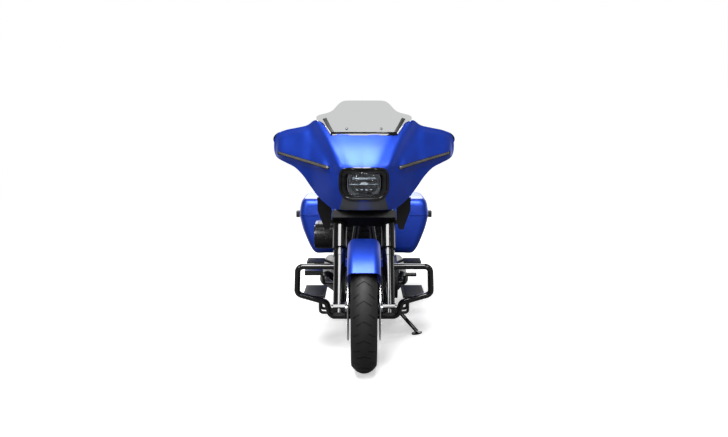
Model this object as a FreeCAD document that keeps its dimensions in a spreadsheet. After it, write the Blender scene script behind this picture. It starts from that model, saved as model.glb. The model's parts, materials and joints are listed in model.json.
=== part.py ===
import FreeCAD, Part
import math
import os
import Sketcher

Vector = FreeCAD.Vector

# A touring cruiser motorcycle with a fork-mounted fairing, hard saddlebags and an open V-twin engine.
# Driving dimensions in millimetres and degrees. They are kept in the sheet made below.
# The machine is drawn upright: nose to -Y, its left side to +X, the ground at z = 0 and the
# origin halfway between the axles. The last step leans it onto its side stand.
dimensions = {
    # stance and steering geometry
    "wheelbase": 1625.0,
    "rake_angle": 26.0,
    "trail": 170.0,
    "fork_angle": 29.25,
    "lean_angle": 9.0,
    # clearances and cuts
    "seam_gap": 0.3,
    "panel_gap": 3.0,
    "running_gap": 5.5,
    "overrun": 4.0,
    # front wheel
    "front_tyre_radius": 319.5,
    "front_tyre_half_width": 63.0,
    "front_crown_radius": 66.0,
    "front_tread_half_width": 55.0,
    "front_rim_radius": 253.0,
    "front_rim_half_width": 50.0,
    "front_hub_radius": 42.0,
    "front_hub_half_width": 60.0,
    "front_disc_radius": 158.0,
    "front_disc_inner_radius": 112.0,
    "front_disc_x": 79.0,
    # rear wheel
    "rear_tyre_radius": 327.5,
    "rear_tyre_half_width": 89.0,
    "rear_crown_radius": 105.0,
    "rear_tread_half_width": 80.0,
    "rear_rim_radius": 241.0,
    "rear_rim_half_width": 75.0,
    "rear_hub_radius": 50.0,
    "rear_hub_half_width": 86.0,
    "rear_disc_radius": 148.0,
    "rear_disc_inner_radius": 104.0,
    "rear_disc_x": 102.0,
    "rear_pulley_radius": 108.0,
    "pulley_x": 108.0,
    "engine_pulley_radius": 42.0,
    # shared by both wheels
    "axle_radius": 12.5,
    "axle_head_radius": 19.0,
    "axle_head_length": 9.0,
    "tyre_wall": 11.0,
    "rim_wall": 6.0,
    "rim_lip": 6.0,
    "bead_height": 13.0,
    "well_depth": 30.0,
    "spoke_thickness": 18.0,
    "spoke_root_width": 17.0,
    "spoke_tip_width": 8.0,
    "spoke_spread": 46.0,
    "disc_thickness": 5.0,
    "disc_carrier_thickness": 6.0,
    "disc_arm_width": 15.0,
    "belt_width": 26.0,
    "belt_thickness": 5.0,
    # fork
    "fork_half_spacing": 123.0,
    "slider_radius": 30.0,
    "slider_length": 335.0,
    "slider_drop": 30.0,
    "slider_wrap_radius": 33.0,
    "fork_cover_radius": 36.0,
    "fork_tube_radius": 24.5,
    "lower_clamp_place": 478.0,
    "upper_clamp_place": 690.0,
    "clamp_thickness": 40.0,
    "clamp_half_width": 162.0,
    "clamp_front_reach": 78.0,
    "clamp_rear_reach": 36.0,
    "stem_radius": 16.0,
    "neck_radius": 32.0,
    "caliper_length": 120.0,
    "caliper_height": 52.0,
    "caliper_half_width": 24.0,
    # front mudguard
    "front_fender_gap": 23.0,
    "front_fender_half_width": 80.0,
    "front_fender_wall": 3.0,
    "front_fender_shoulder": 36.0,
    "front_fender_depth": 96.0,
    "front_fender_front_angle": 50.0,
    "front_fender_rear_angle": 76.0,
    # fairing
    "fairing_half_width": 484.0,
    "fairing_bottom_z": 796.0,
    "fairing_height": 453.0,
    "fairing_nose_y": -747.0,
    "fairing_depth": 430.0,
    "fairing_wall": 5.0,
    "bezel_half_width": 127.0,
    "bezel_bottom_z": 845.0,
    "bezel_height": 172.0,
    "bezel_stand": 5.0,
    "bezel_depth": 60.0,
    "lamp_half_width": 84.0,
    "lamp_bottom_z": 868.0,
    "lamp_height": 120.0,
    "lamp_recess": 16.0,
    "lamp_depth": 40.0,
    "strip_inner_x": 178.0,
    "strip_outer_x": 458.0,
    "strip_inner_z": 1001.0,
    "strip_outer_z": 1072.0,
    "strip_height": 17.0,
    "strip_stand": 3.0,
    "shield_base_z": 1196.0,
    "shield_height": 154.0,
    "shield_half_width": 252.0,
    "shield_base_y": -583.7,
    "shield_depth": 140.0,
    "shield_wall": 4.0,
    "mirror_half_width": 66.0,
    "mirror_half_height": 44.0,
    "mirror_half_depth": 17.0,
    "mirror_x": 424.0,
    "mirror_z": 1147.0,
    "mirror_y": -322.0,
    "deflector_top_z": 852.0,
    "deflector_height": 170.0,
    "deflector_outer_x": 243.0,
    "deflector_wall": 12.0,
    # handlebar
    "bar_radius": 14.0,
    "bar_bend_radius": 45.0,
    "bar_z": 1000.0,
    "grip_radius": 18.0,
    "grip_length": 132.0,
    "grip_inner_x": 296.0,
    "grip_inner_y": -335.0,
    "grip_z": 1078.0,
    "grip_sweep": 82.0,
    "grip_fall": 8.0,
    "lever_radius": 6.5,
    "lever_reach": 66.0,
    "control_radius": 27.0,
    "control_length": 46.0,
    # frame
    "main_tube_radius": 22.0,
    "frame_tube_radius": 16.0,
    "frame_bend_radius": 60.0,
    "cradle_z": 185.0,
    "cradle_front_half_width": 100.0,
    "cradle_half_width": 170.5,
    "backbone_z": 776.0,
    "pivot_y": 312.0,
    "pivot_z": 330.0,
    "pivot_tube_radius": 27.0,
    "rail_z": 640.0,
    # swinging arm and shocks
    "arm_inner_x": 127.0,
    "arm_width": 26.0,
    "arm_height": 54.0,
    "shock_radius": 17.0,
    "shock_x": 148.0,
    # engine
    "crank_y": -60.0,
    "crank_z": 330.0,
    "cylinder_angle": 22.5,
    "case_half_width": 74.0,
    "case_radius": 128.0,
    "deck_height": 165.0,
    "barrel_height": 108.0,
    "barrel_radius": 62.0,
    "barrel_fin_radius": 88.0,
    "fin_pitch": 10.5,
    "fin_thickness": 4.0,
    "head_height": 60.0,
    "head_half_width": 76.0,
    "rocker_height": 50.0,
    "rocker_half_width": 72.0,
    "cam_cover_radius": 92.0,
    "cam_cover_depth": 42.0,
    "cam_nose_radius": 58.0,
    "cam_nose_depth": 16.0,
    "pushrod_radius": 10.0,
    "primary_front_radius": 102.0,
    "primary_rear_radius": 118.0,
    "primary_depth": 118.0,
    "primary_length": 240.0,
    "derby_radius": 76.0,
    "derby_depth": 14.0,
    "gearbox_length": 150.0,
    "gearbox_bottom_z": 228.0,
    "gearbox_height": 190.0,
    "air_cleaner_half_length": 128.0,
    "air_cleaner_half_height": 72.0,
    "air_cleaner_z": 601.0,
    "air_cleaner_inner_x": 172.0,
    "air_cleaner_depth": 102.0,
    # exhaust
    "pipe_radius": 24.0,
    "pipe_bend_radius": 70.0,
    "pipe_z": 240.0,
    "muffler_radius": 47.0,
    "muffler_length": 790.0,
    "muffler_x": 229.0,
    "muffler_z": 264.0,
    "muffler_start_y": 340.0,
    "muffler_tip_length": 36.0,
    "muffler_tip_wall": 4.0,
    # tank and seat
    "tank_front_y": -425.0,
    "tank_length": 490.0,
    "tank_half_width": 174.0,
    "tank_bottom_z": 724.0,
    "tank_height": 168.0,
    "tunnel_half_width": 34.0,
    "tunnel_height": 98.0,
    "console_half_width": 50.0,
    "console_height": 22.0,
    "filler_radius": 34.0,
    "filler_height": 9.0,
    "seat_front_y": 66.0,
    "seat_length": 722.0,
    "seat_half_width": 185.0,
    "seat_base_z": 690.0,
    "seat_height": 145.0,
    # rear mudguard and lamps
    "rear_fender_gap": 84.0,
    "rear_fender_half_width": 108.0,
    "rear_fender_wall": 3.0,
    "rear_fender_shoulder": 46.0,
    "rear_fender_depth": 150.0,
    "rear_fender_front_angle": 38.0,
    "rear_fender_rear_angle": 94.0,
    "tail_lamp_half_width": 46.0,
    "tail_lamp_height": 46.0,
    "tail_lamp_depth": 34.0,
    "tail_lamp_angle": 52.0,
    "indicator_radius": 27.0,
    "indicator_depth": 46.0,
    "indicator_x": 142.0,
    "indicator_angle": 66.0,
    "plate_width": 178.0,
    "plate_height": 102.0,
    "plate_wall": 3.0,
    "plate_hole_radius": 3.5,
    "plate_hole_spacing": 146.0,
    "plate_angle": 82.0,
    # saddlebags
    "bag_front_y": 372.0,
    "bag_length": 700.0,
    "bag_inner_x": 172.0,
    "bag_width": 232.0,
    "bag_bottom_z": 420.0,
    "bag_height": 238.0,
    "bag_wall": 4.0,
    "lid_height": 106.0,
    "hinge_radius": 6.0,
    "hinge_length": 420.0,
    "latch_length": 86.0,
    "latch_height": 30.0,
    "latch_depth": 26.0,
    # guard, boards, pedals and stand
    "guard_y": -372.0,
    "guard_tube_radius": 15.9,
    "guard_bend_radius": 52.0,
    "guard_half_width": 362.0,
    "guard_top_z": 470.0,
    "guard_bottom_z": 187.0,
    "board_length": 330.0,
    "board_width": 122.0,
    "board_wall": 14.0,
    "board_inner_x": 214.0,
    "board_front_y": -330.0,
    "board_z": 292.0,
    "rear_board_length": 150.0,
    "rear_board_width": 104.0,
    "rear_board_inner_x": 240.0,
    "rear_board_front_y": 170.0,
    "rear_board_z": 404.0,
    "pedal_rod_radius": 8.0,
    "shift_peg_radius": 11.0,
    "shift_peg_length": 62.0,
    "shift_peg_x": 238.0,
    "pedal_y": -292.0,
    "shift_peg_z": 403.0,
    "brake_pad_width": 98.0,
    "brake_pad_length": 66.0,
    "brake_pad_wall": 26.0,
    "stand_pivot_x": 166.0,
    "stand_pivot_y": -120.0,
    "stand_pivot_z": 200.0,
    "stand_reach": 134.0,
    "stand_advance": 72.0,
    "stand_radius": 11.0,
    "stand_foot_radius": 30.0,
    "stand_foot_height": 8.0,
}


class Size:
    """A value of the sheet, or a sum of such values, with the expression that gives it."""

    def __init__(self, value, text):
        self.value = value
        self.text = text

    def __float__(self):
        return float(self.value)

    def join(self, other, sign, value):
        return Size(value, "(" + self.text + " " + sign + " " + text_of(other) + ")")

    def __add__(self, other):
        return self.join(other, "+", self.value + float(other))

    def __sub__(self, other):
        return self.join(other, "-", self.value - float(other))

    def __mul__(self, other):
        return self.join(other, "*", self.value * float(other))

    def __truediv__(self, other):
        return self.join(other, "/", self.value / float(other))

    def __radd__(self, other):
        return self + other

    def __rmul__(self, other):
        return self * other

    def __neg__(self):
        return self * -1


def text_of(value):
    return value.text if isinstance(value, Size) else repr(value)


def sine(angle):
    return Size(math.sin(math.radians(float(angle))), "sin(" + angle.text + ")")


def cosine(angle):
    return Size(math.cos(math.radians(float(angle))), "cos(" + angle.text + ")")


doc = FreeCAD.newDocument("Motorcycle")
sheet = doc.addObject("Spreadsheet::Sheet", "Sizes")


class Named:
    """The sheet's values under their own names."""


d = Named()
for row, (alias, value) in enumerate(dimensions.items(), start=1):
    cell = "A" + str(row)
    sheet.set(cell, str(value))
    sheet.setAlias(cell, alias)
    setattr(d, alias, Size(value, "Sizes." + alias))
doc.recompute()

axis_x = Vector(1, 0, 0)
axis_y = Vector(0, 1, 0)
axis_z = Vector(0, 0, 1)
both_sides = (1, -1)


# Shapes bound to the sheet.
def bind(obj, name, value):
    if isinstance(value, Size):
        obj.setExpression(name, value.text)
    return obj


def turn_to(direction):
    return FreeCAD.Rotation(axis_z, Vector(*direction))


def primitive(kind, name, place, rotation=None, **sizes):
    """A Part primitive with its sizes and its place bound to the sheet."""
    obj = doc.addObject("Part::" + kind, name)
    for key, value in sizes.items():
        setattr(obj, key, float(value))
        bind(obj, key, value)
    obj.Placement = FreeCAD.Placement(Vector(*place), rotation or FreeCAD.Rotation())
    for key, value in zip("xyz", place):
        bind(obj, "Placement.Base." + key, value)
    return obj


def box(name, x, y, z):
    """A box between pairs of limits on each axis."""
    return primitive("Box", name, (x[0], y[0], z[0]),
                     Length=x[1] - x[0], Width=y[1] - y[0], Height=z[1] - z[0])


def cylinder(name, place, direction, radius, length):
    return primitive("Cylinder", name, place, turn_to(direction), Radius=radius, Height=length)


def rod(name, start, end, radius):
    """A round rod between two points."""
    start_point = Vector(*start)
    run = Vector(*end) - start_point
    obj = primitive("Cylinder", name, start, turn_to(run), Radius=radius, Height=run.Length)
    return obj


def fuse(name, parts):
    if len(parts) == 1:
        obj = doc.addObject("Part::Compound", name)
        obj.Links = parts
        return obj
    obj = doc.addObject("Part::MultiFuse", name)
    obj.Shapes = parts
    return obj


def gather(name, parts):
    """Solids that don't touch, kept as they are in one object."""
    obj = doc.addObject("Part::Compound", name)
    obj.Links = parts
    return obj


def cut(name, base, tools):
    obj = doc.addObject("Part::Cut", name)
    obj.Base = base
    obj.Tool = tools[0] if len(tools) == 1 else fuse(name + "Tools", tools)
    return obj


def common(name, parts):
    obj = doc.addObject("Part::MultiCommon", name)
    obj.Shapes = parts
    return obj


def mirrored(name, source):
    """A copy on the other side of the middle plane."""
    obj = doc.addObject("Part::Mirroring", name)
    obj.Source = source
    obj.Normal = axis_x
    return obj


def arc_middle(start, end, radius, side):
    chord = end - start
    half = chord.Length / 2
    normal = Vector(-chord.y, chord.x, 0).normalize() * side
    rise = radius - math.sqrt(max(radius * radius - half * half, 0))
    return start + chord * 0.5 + normal * rise


def profile(body, role, points):
    """A closed sketch on an origin plane of the body. A point is (a, b), or (a, b, radius, side)
    where an arc of that radius, bulging left (1) or right (-1) of its run, leads up to it."""
    sketch = body.newObject("Sketcher::SketchObject", body.Name + "Profile")
    plane = [f for f in body.Origin.OriginFeatures if f.Role == role][0]
    sketch.AttachmentSupport = [(plane, "")]
    sketch.MapMode = "FlatFace"
    places = [Vector(float(p[0]), float(p[1]), 0) for p in points]
    for index, point in enumerate(points):
        start, end = places[index - 1], places[index]
        if len(point) > 2:
            middle = arc_middle(start, end, float(point[2]), point[3])
            arc = Part.Arc(start, middle, end)
            sketch.addGeometry(arc, False)
        else:
            sketch.addGeometry(Part.LineSegment(start, end), False)
    ends = []
    for index, (start, end) in enumerate(zip([places[-1]] + places[:-1], places)):
        first = sketch.getPoint(index, 1)
        ends.append((1, 2) if (first - start).Length < (first - end).Length else (2, 1))
    count = len(points)
    for index in range(count):
        after = (index + 1) % count
        sketch.addConstraint(Sketcher.Constraint(
            "Coincident", index, ends[index][1], after, ends[after][0]))
    for index, point in enumerate(points):
        for kind, value in (("DistanceX", point[0]), ("DistanceY", point[1])):
            at = sketch.addConstraint(Sketcher.Constraint(
                kind, -1, 1, index, ends[index][1], float(value)))
            bind(sketch, "Constraints[" + str(at) + "]", value)
        if len(point) > 2:
            at = sketch.addConstraint(Sketcher.Constraint("Radius", index, float(point[2])))
            bind(sketch, "Constraints[" + str(at) + "]", point[2])
    return sketch


def turned(name, role, points, axis="H_Axis", place=None, angle=360.0):
    """A closed profile turned round one of its sketch's axes."""
    body = doc.addObject("PartDesign::Body", name)
    sketch = profile(body, role, points)
    feature = body.newObject("PartDesign::Revolution", name + "Turn")
    feature.Profile = sketch
    feature.ReferenceAxis = (sketch, [axis])
    feature.Angle = angle
    body.Tip = feature
    settle(body, place)
    return body


def padded(name, role, points, length, place=None, middle=True, rotation=None):
    """A closed profile given a thickness, to both sides of its plane or to one."""
    body = doc.addObject("PartDesign::Body", name)
    sketch = profile(body, role, points)
    feature = body.newObject("PartDesign::Pad", name + "Pad")
    feature.Profile = sketch
    feature.Length = float(length)
    bind(feature, "Length", length)
    feature.Midplane = middle
    body.Tip = feature
    settle(body, place, rotation)
    return body


def settle(body, place, rotation=None):
    place = place or (0, 0, 0)
    body.Placement = FreeCAD.Placement(Vector(*place), rotation or FreeCAD.Rotation())
    for key, value in zip("xyz", place):
        bind(body, "Placement.Base." + key, value)


# Shapes along a path, and between sections.
def bent_path(points, bend):
    """Straight runs through the points with round bends between them."""
    places = [Vector(*point) for point in points]
    edges = []
    start = places[0]
    for before, corner, after in zip(places, places[1:], places[2:]):
        back = (before - corner).normalize()
        ahead = (after - corner).normalize()
        half_angle = back.getAngle(ahead) / 2
        reach = float(bend) / math.tan(half_angle)
        arc_start = corner + back * reach
        arc_end = corner + ahead * reach
        centre = corner + (back + ahead).normalize() * (float(bend) / math.sin(half_angle))
        arc_top = centre + (corner - centre).normalize() * float(bend)
        edges.append(Part.makeLine(start, arc_start))
        edges.append(Part.Arc(arc_start, arc_top, arc_end).toShape())
        start = arc_end
    edges.append(Part.makeLine(start, places[-1]))
    return Part.Wire(edges)


def tube(name, points, radius, bend=None):
    """A round tube swept along a bent path."""
    if len(points) == 2:
        return rod(name, points[0], points[1], radius)
    spine = doc.addObject("Part::Feature", name + "Path")
    spine.Shape = bent_path(points, bend)
    section = doc.addObject("Part::Circle", name + "Section")
    section.Radius = float(radius)
    bind(section, "Radius", radius)
    run = Vector(*points[1]) - Vector(*points[0])
    section.Placement = FreeCAD.Placement(Vector(*points[0]), turn_to(run))
    sweep = doc.addObject("Part::Sweep", name)
    sweep.Sections = [section]
    sweep.Spine = (spine, ["Edge" + str(i + 1) for i in range(len(spine.Shape.Edges))])
    sweep.Solid = True
    sweep.Frenet = False
    return sweep


def loft(name, wires, ruled=False):
    """A solid through a row of closed wires."""
    sections = []
    for index, wire in enumerate(wires):
        section = doc.addObject("Part::Feature", name + "Section" + str(index))
        section.Shape = wire
        sections.append(section)
    obj = doc.addObject("Part::Loft", name)
    obj.Sections = sections
    obj.Solid = True
    obj.Ruled = ruled
    return obj


def closed_curve(points):
    """A smooth closed wire through the points."""
    curve = Part.BSplineCurve()
    curve.interpolate(Points=points, PeriodicFlag=True)
    return Part.Wire(curve.toShape())


def closed_outline(points):
    return Part.makePolygon(points + [points[0]])


def rounded_outline(points, bend):
    """A closed flat wire through the points with round corners."""
    count = len(points)
    ends = []
    for index, corner in enumerate(points):
        back = (points[index - 1] - corner).normalize()
        ahead = (points[(index + 1) % count] - corner).normalize()
        half_angle = back.getAngle(ahead) / 2
        reach = float(bend) / math.tan(half_angle)
        centre = corner + (back + ahead).normalize() * (float(bend) / math.sin(half_angle))
        top = centre + (corner - centre).normalize() * float(bend)
        ends.append((corner + back * reach, top, corner + ahead * reach))
    edges = []
    for index, (start, top, end) in enumerate(ends):
        edges.append(Part.Arc(start, top, end).toShape())
        edges.append(Part.makeLine(end, ends[(index + 1) % count][0]))
    return Part.Wire(edges)


def slab(name, wire, along):
    """A flat closed wire given a thickness along a vector."""
    outline = doc.addObject("Part::Feature", name + "Outline")
    outline.Shape = wire
    obj = doc.addObject("Part::Extrusion", name)
    obj.Base = outline
    obj.DirMode = "Custom"
    obj.Dir = along
    obj.LengthFwd = along.Length
    obj.Solid = True
    return obj


nodes = {}


def node(name, obj):
    obj.Label = name
    nodes[name] = obj
    return obj


# Key points of the upright machine.
front_axle_y = d.wheelbase * -0.5
rear_axle_y = d.wheelbase * 0.5
front_axle_z = d.front_tyre_radius - d.front_crown_radius + d.front_crown_radius / cosine(d.lean_angle)
rear_axle_z = d.rear_tyre_radius - d.rear_crown_radius + d.rear_crown_radius / cosine(d.lean_angle)
front_axle = (0, front_axle_y, front_axle_z)
rear_axle = (0, rear_axle_y, rear_axle_z)
rake_slope = sine(d.rake_angle) / cosine(d.rake_angle)
fork_direction = Vector(0, float(sine(d.fork_angle)), float(cosine(d.fork_angle)))
stem_direction = Vector(0, float(sine(d.rake_angle)), float(cosine(d.rake_angle)))


def on_fork(along, x=0, ahead=0):
    """A place along the fork legs, measured from the axle, and square ahead of them."""
    y = front_axle_y + along * sine(d.fork_angle) - ahead * cosine(d.fork_angle)
    z = front_axle_z + along * cosine(d.fork_angle) + ahead * sine(d.fork_angle)
    return (x, y, z)


def stem_y(z):
    return front_axle_y - d.trail + z * rake_slope


# Wheels.
def tyre(name, place, radius, half_width, crown, tread, rim_radius, rim_half_width):
    """The outside follows the crown's arc; the inside keeps the wall's thickness."""
    crown_drop = Size(float(crown) - math.sqrt(float(crown) ** 2 - float(tread) ** 2),
                      "(" + text_of(crown) + " - sqrt(" + text_of(crown) + "^2 - "
                      + text_of(tread) + "^2))")
    shoulder = radius - crown_drop
    seat = rim_radius - d.bead_height + d.seam_gap
    bead_x = rim_half_width - d.rim_lip - d.seam_gap
    flange = rim_radius + d.seam_gap
    side = shoulder - (shoulder - flange) * 0.45
    wall = d.tyre_wall
    right = [
        (bead_x - wall, seat),
        (bead_x, seat),
        (bead_x, flange),
        (rim_half_width, flange + d.seam_gap),
        (half_width - wall * 0.2, side - wall * 0.9),
        (half_width, side),
        (tread, shoulder),
    ]
    inner = [
        (tread - wall * 0.8, shoulder - wall * 0.7),
        (half_width - wall, side),
        (half_width - wall * 1.3, side - wall * 0.6),
        (bead_x - wall, flange),
    ]
    points = right
    points = points + [(-tread, shoulder, crown, -1)]
    points = points + [(-p[0], p[1]) for p in reversed(right[:-1])]
    points = points + [(-p[0], p[1]) for p in reversed(inner[1:])]
    points = points + [(-inner[0][0], inner[0][1])]
    points = points + [(inner[0][0], inner[0][1], crown - wall * 0.9, 1)]
    points = points + inner[1:]
    return turned(name, "XZ_Plane", points, place=place)


def rim(name, place, rim_radius, rim_half_width, hub_radius, hub_half_width):
    """Hub, seven forked spokes and a dropped-centre rim."""
    seat = rim_radius - d.bead_height
    well = seat - d.well_depth
    inside = well - d.rim_wall
    body = turned(name, "XZ_Plane", [
        (-hub_half_width, d.axle_radius + d.seam_gap),
        (hub_half_width, d.axle_radius + d.seam_gap),
        (hub_half_width, hub_radius * 0.86),
        (hub_half_width * 0.86, hub_radius),
        (hub_half_width * 0.5, hub_radius * 0.9),
        (-hub_half_width * 0.5, hub_radius * 0.9),
        (-hub_half_width * 0.86, hub_radius),
        (-hub_half_width, hub_radius * 0.86),
    ], place=place)
    root, tip, spread = d.spoke_root_width, d.spoke_tip_width, d.spoke_spread
    fork_start = hub_radius + (inside - hub_radius) * 0.34
    end = inside - d.rim_wall * 0.3
    sketch = profile(body, "YZ_Plane", [
        (-root, hub_radius * 0.7),
        (root, hub_radius * 0.7),
        (root * 0.85, fork_start),
        (spread + tip, end),
        (spread - tip, end),
        (tip * 0.01, fork_start + root * 1.6),
        (-(spread - tip), end),
        (-(spread + tip), end),
        (-(root * 0.85), fork_start),
    ])
    pad = body.newObject("PartDesign::Pad", name + "Spoke")
    pad.Profile = sketch
    bind(pad, "Length", d.spoke_thickness)
    pad.Midplane = True
    body.Tip = pad
    pattern = body.newObject("PartDesign::PolarPattern", name + "Spokes")
    pattern.Originals = [pad]
    pattern.Axis = (sketch, ["N_Axis"])
    pattern.Angle = 360
    pattern.Occurrences = 7
    body.Tip = pattern
    half = rim_half_width
    ring = profile(body, "XZ_Plane", [
        (-half, rim_radius),
        (-half, seat - d.rim_wall),
        (-(half * 0.62), inside + d.rim_wall),
        (-(half * 0.34), inside),
        (half * 0.34, inside),
        (half * 0.62, inside + d.rim_wall),
        (half, seat - d.rim_wall),
        (half, rim_radius),
        (half - d.rim_lip, rim_radius),
        (half - d.rim_lip, seat),
        (half * 0.6, seat - d.rim_wall * 0.3),
        (half * 0.34, well),
        (-(half * 0.34), well),
        (-(half * 0.6), seat - d.rim_wall * 0.3),
        (-(half - d.rim_lip), seat),
        (-(half - d.rim_lip), rim_radius),
    ])
    turn = body.newObject("PartDesign::Revolution", name + "Ring")
    turn.Profile = ring
    turn.ReferenceAxis = (ring, ["H_Axis"])
    turn.Angle = 360
    body.Tip = turn
    return body


def disc(name, place, side, x, radius, inner_radius, hub_half_width, hub_radius):
    """A brake disc held on the hub by a carrier with slim arms."""
    near = hub_half_width + d.seam_gap
    face = x - d.disc_thickness * 0.5
    back = x + d.disc_thickness * 0.5
    ring = turned(name + "Ring", "XZ_Plane", [(p[0] * side, p[1]) for p in (
        (face, inner_radius), (back, inner_radius), (back, radius), (face, radius))], place=place)
    hub = turned(name + "Hub", "XZ_Plane", [(p[0] * side, p[1]) for p in (
        (near, d.axle_radius * 1.5), (back, d.axle_radius * 1.5),
        (back, hub_radius * 0.7), (near, hub_radius * 0.9))], place=place)
    arm_x = back - d.disc_carrier_thickness if side > 0 else -back
    root = hub_radius * 0.6
    arms = []
    for step in range(6):
        turn = FreeCAD.Rotation(axis_x, 60 * step)
        corner = turn.multVec(Vector(float(arm_x), -float(d.disc_arm_width) * 0.5, float(root)))
        arms.append(primitive(
            "Box", name + "Arm" + str(step), tuple(Vector(*[float(v) for v in place]) + corner), turn,
            Length=d.disc_carrier_thickness, Width=d.disc_arm_width,
            Height=inner_radius + d.overrun - root))
    return fuse(name, [ring, hub] + arms)


node("front_tyre", tyre("FrontTyre", front_axle, d.front_tyre_radius, d.front_tyre_half_width,
                        d.front_crown_radius, d.front_tread_half_width,
                        d.front_rim_radius, d.front_rim_half_width))
node("front_rim", rim("FrontRim", front_axle, d.front_rim_radius, d.front_rim_half_width,
                      d.front_hub_radius, d.front_hub_half_width))
front_disc_left = disc("FrontDiscLeft", front_axle, 1, d.front_disc_x, d.front_disc_radius,
                       d.front_disc_inner_radius, d.front_hub_half_width, d.front_hub_radius)
node("front_discs", gather("FrontDiscs", [front_disc_left,
                                          mirrored("FrontDiscRight", front_disc_left)]))
node("rear_tyre", tyre("RearTyre", rear_axle, d.rear_tyre_radius, d.rear_tyre_half_width,
                       d.rear_crown_radius, d.rear_tread_half_width,
                       d.rear_rim_radius, d.rear_rim_half_width))
node("rear_rim", rim("RearRim", rear_axle, d.rear_rim_radius, d.rear_rim_half_width,
                     d.rear_hub_radius, d.rear_hub_half_width))
node("rear_disc", disc("RearDisc", rear_axle, -1, d.rear_disc_x, d.rear_disc_radius,
                       d.rear_disc_inner_radius, d.rear_hub_half_width, d.rear_hub_radius))
pulley_inner = d.pulley_x - d.belt_width * 0.5
pulley_outer = d.pulley_x + d.belt_width * 0.5
node("rear_pulley", turned("RearPulley", "XZ_Plane", [
    (d.rear_hub_half_width + d.seam_gap, d.axle_radius * 1.5),
    (pulley_outer - d.belt_width * 0.3, d.axle_radius * 1.5),
    (pulley_outer - d.belt_width * 0.3, d.rear_pulley_radius - d.belt_thickness * 2),
    (pulley_outer, d.rear_pulley_radius - d.belt_thickness * 2),
    (pulley_outer, d.rear_pulley_radius),
    (pulley_inner, d.rear_pulley_radius),
    (pulley_inner, d.rear_pulley_radius - d.belt_thickness * 2),
    (d.rear_hub_half_width + d.seam_gap, d.rear_hub_radius),
], place=rear_axle))

# Fork legs, with the brake calipers carried behind the sliders.
def fork_leg(name, side):
    x = d.fork_half_spacing * side
    slider_top = d.slider_length - d.slider_drop
    top = d.upper_clamp_place + d.clamp_thickness * 0.7
    slider = cylinder(name + "Slider", on_fork(-d.slider_drop, x), fork_direction,
                      d.slider_radius, d.slider_length)
    collar = cylinder(name + "Collar", on_fork(slider_top - d.slider_radius, x), fork_direction,
                      d.slider_wrap_radius, d.slider_radius)
    stanchion = cylinder(name + "Tube", on_fork(slider_top, x), fork_direction,
                         d.fork_tube_radius, top - slider_top)
    cover = cylinder(name + "Cover", on_fork(slider_top + d.slider_radius * 0.5, x), fork_direction,
                     d.fork_cover_radius, d.lower_clamp_place - slider_top)
    foot = cylinder(name + "Foot", (x - d.slider_radius, front_axle_y, front_axle_z), (1, 0, 0),
                    d.slider_radius * 1.05, d.slider_radius * 2)
    return fuse(name, [slider, collar, stanchion, cover, foot])


axle_end = d.fork_half_spacing + d.slider_radius + d.seam_gap
axle_bar = cylinder("FrontAxleBar", (-axle_end, front_axle_y, front_axle_z), (1, 0, 0),
                    d.axle_radius, axle_end * 2)
axle_heads = [
    cylinder("FrontAxleHead" + str(i), (x, front_axle_y, front_axle_z), (1, 0, 0),
             d.axle_head_radius, d.axle_head_length)
    for i, x in enumerate((axle_end, -(axle_end + d.axle_head_length)))]
node("front_fork", fuse("FrontFork", [fork_leg("ForkLeft", 1), fork_leg("ForkRight", -1), axle_bar]
                         + axle_heads))


def clamp(name, along):
    """A yoke across both fork legs, square to them, bored for the tubes."""
    place = on_fork(along - d.clamp_thickness * 0.5, -d.clamp_half_width, d.clamp_front_reach)
    square = FreeCAD.Rotation(axis_x, -float(d.fork_angle))
    plate = primitive("Box", name + "Plate", place, square, Length=d.clamp_half_width * 2,
                      Width=d.clamp_front_reach + d.clamp_rear_reach, Height=d.clamp_thickness)
    return plate


lower_clamp = clamp("LowerClamp", d.lower_clamp_place)
upper_clamp = clamp("UpperClamp", d.upper_clamp_place)
leg_holes = [
    cylinder("LegHole" + str(i), on_fork(along - d.clamp_thickness, d.fork_half_spacing * side),
             fork_direction, radius + d.seam_gap, d.clamp_thickness * 2)
    for i, (side, along, radius) in enumerate((
        (1, d.lower_clamp_place, d.fork_cover_radius),
        (-1, d.lower_clamp_place, d.fork_cover_radius),
        (1, d.upper_clamp_place, d.fork_tube_radius),
        (-1, d.upper_clamp_place, d.fork_tube_radius)))]
clamps = cut("BoredClamps", gather("Clamps", [lower_clamp, upper_clamp]), leg_holes)


# Mudguards: channels round the tyres.
def mudguard(name, place, reach, half_width, wall, shoulder, depth, front_angle, rear_angle):
    flat = half_width - shoulder
    bend = shoulder
    inner_bend = shoulder - wall
    points = [
        (-half_width, reach - depth),
        (-half_width, reach - shoulder),
        (-flat, reach, bend, 1),
        (flat, reach),
        (half_width, reach - shoulder, bend, 1),
        (half_width, reach - depth),
        (half_width - wall, reach - depth),
        (half_width - wall, reach - shoulder),
        (flat, reach - wall, inner_bend, -1),
        (-flat, reach - wall),
        (-(half_width - wall), reach - shoulder, inner_bend, -1),
        (-(half_width - wall), reach - depth),
    ]
    body = turned(name, "XZ_Plane", points, place=place,
                  angle=float(front_angle) + float(rear_angle))
    body.Tip.Midplane = True
    bind(body.Tip, "Angle", front_angle + rear_angle)
    lean_back = (float(front_angle) - float(rear_angle)) / 2
    body.Placement.Rotation = FreeCAD.Rotation(axis_x, lean_back)
    return body


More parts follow.
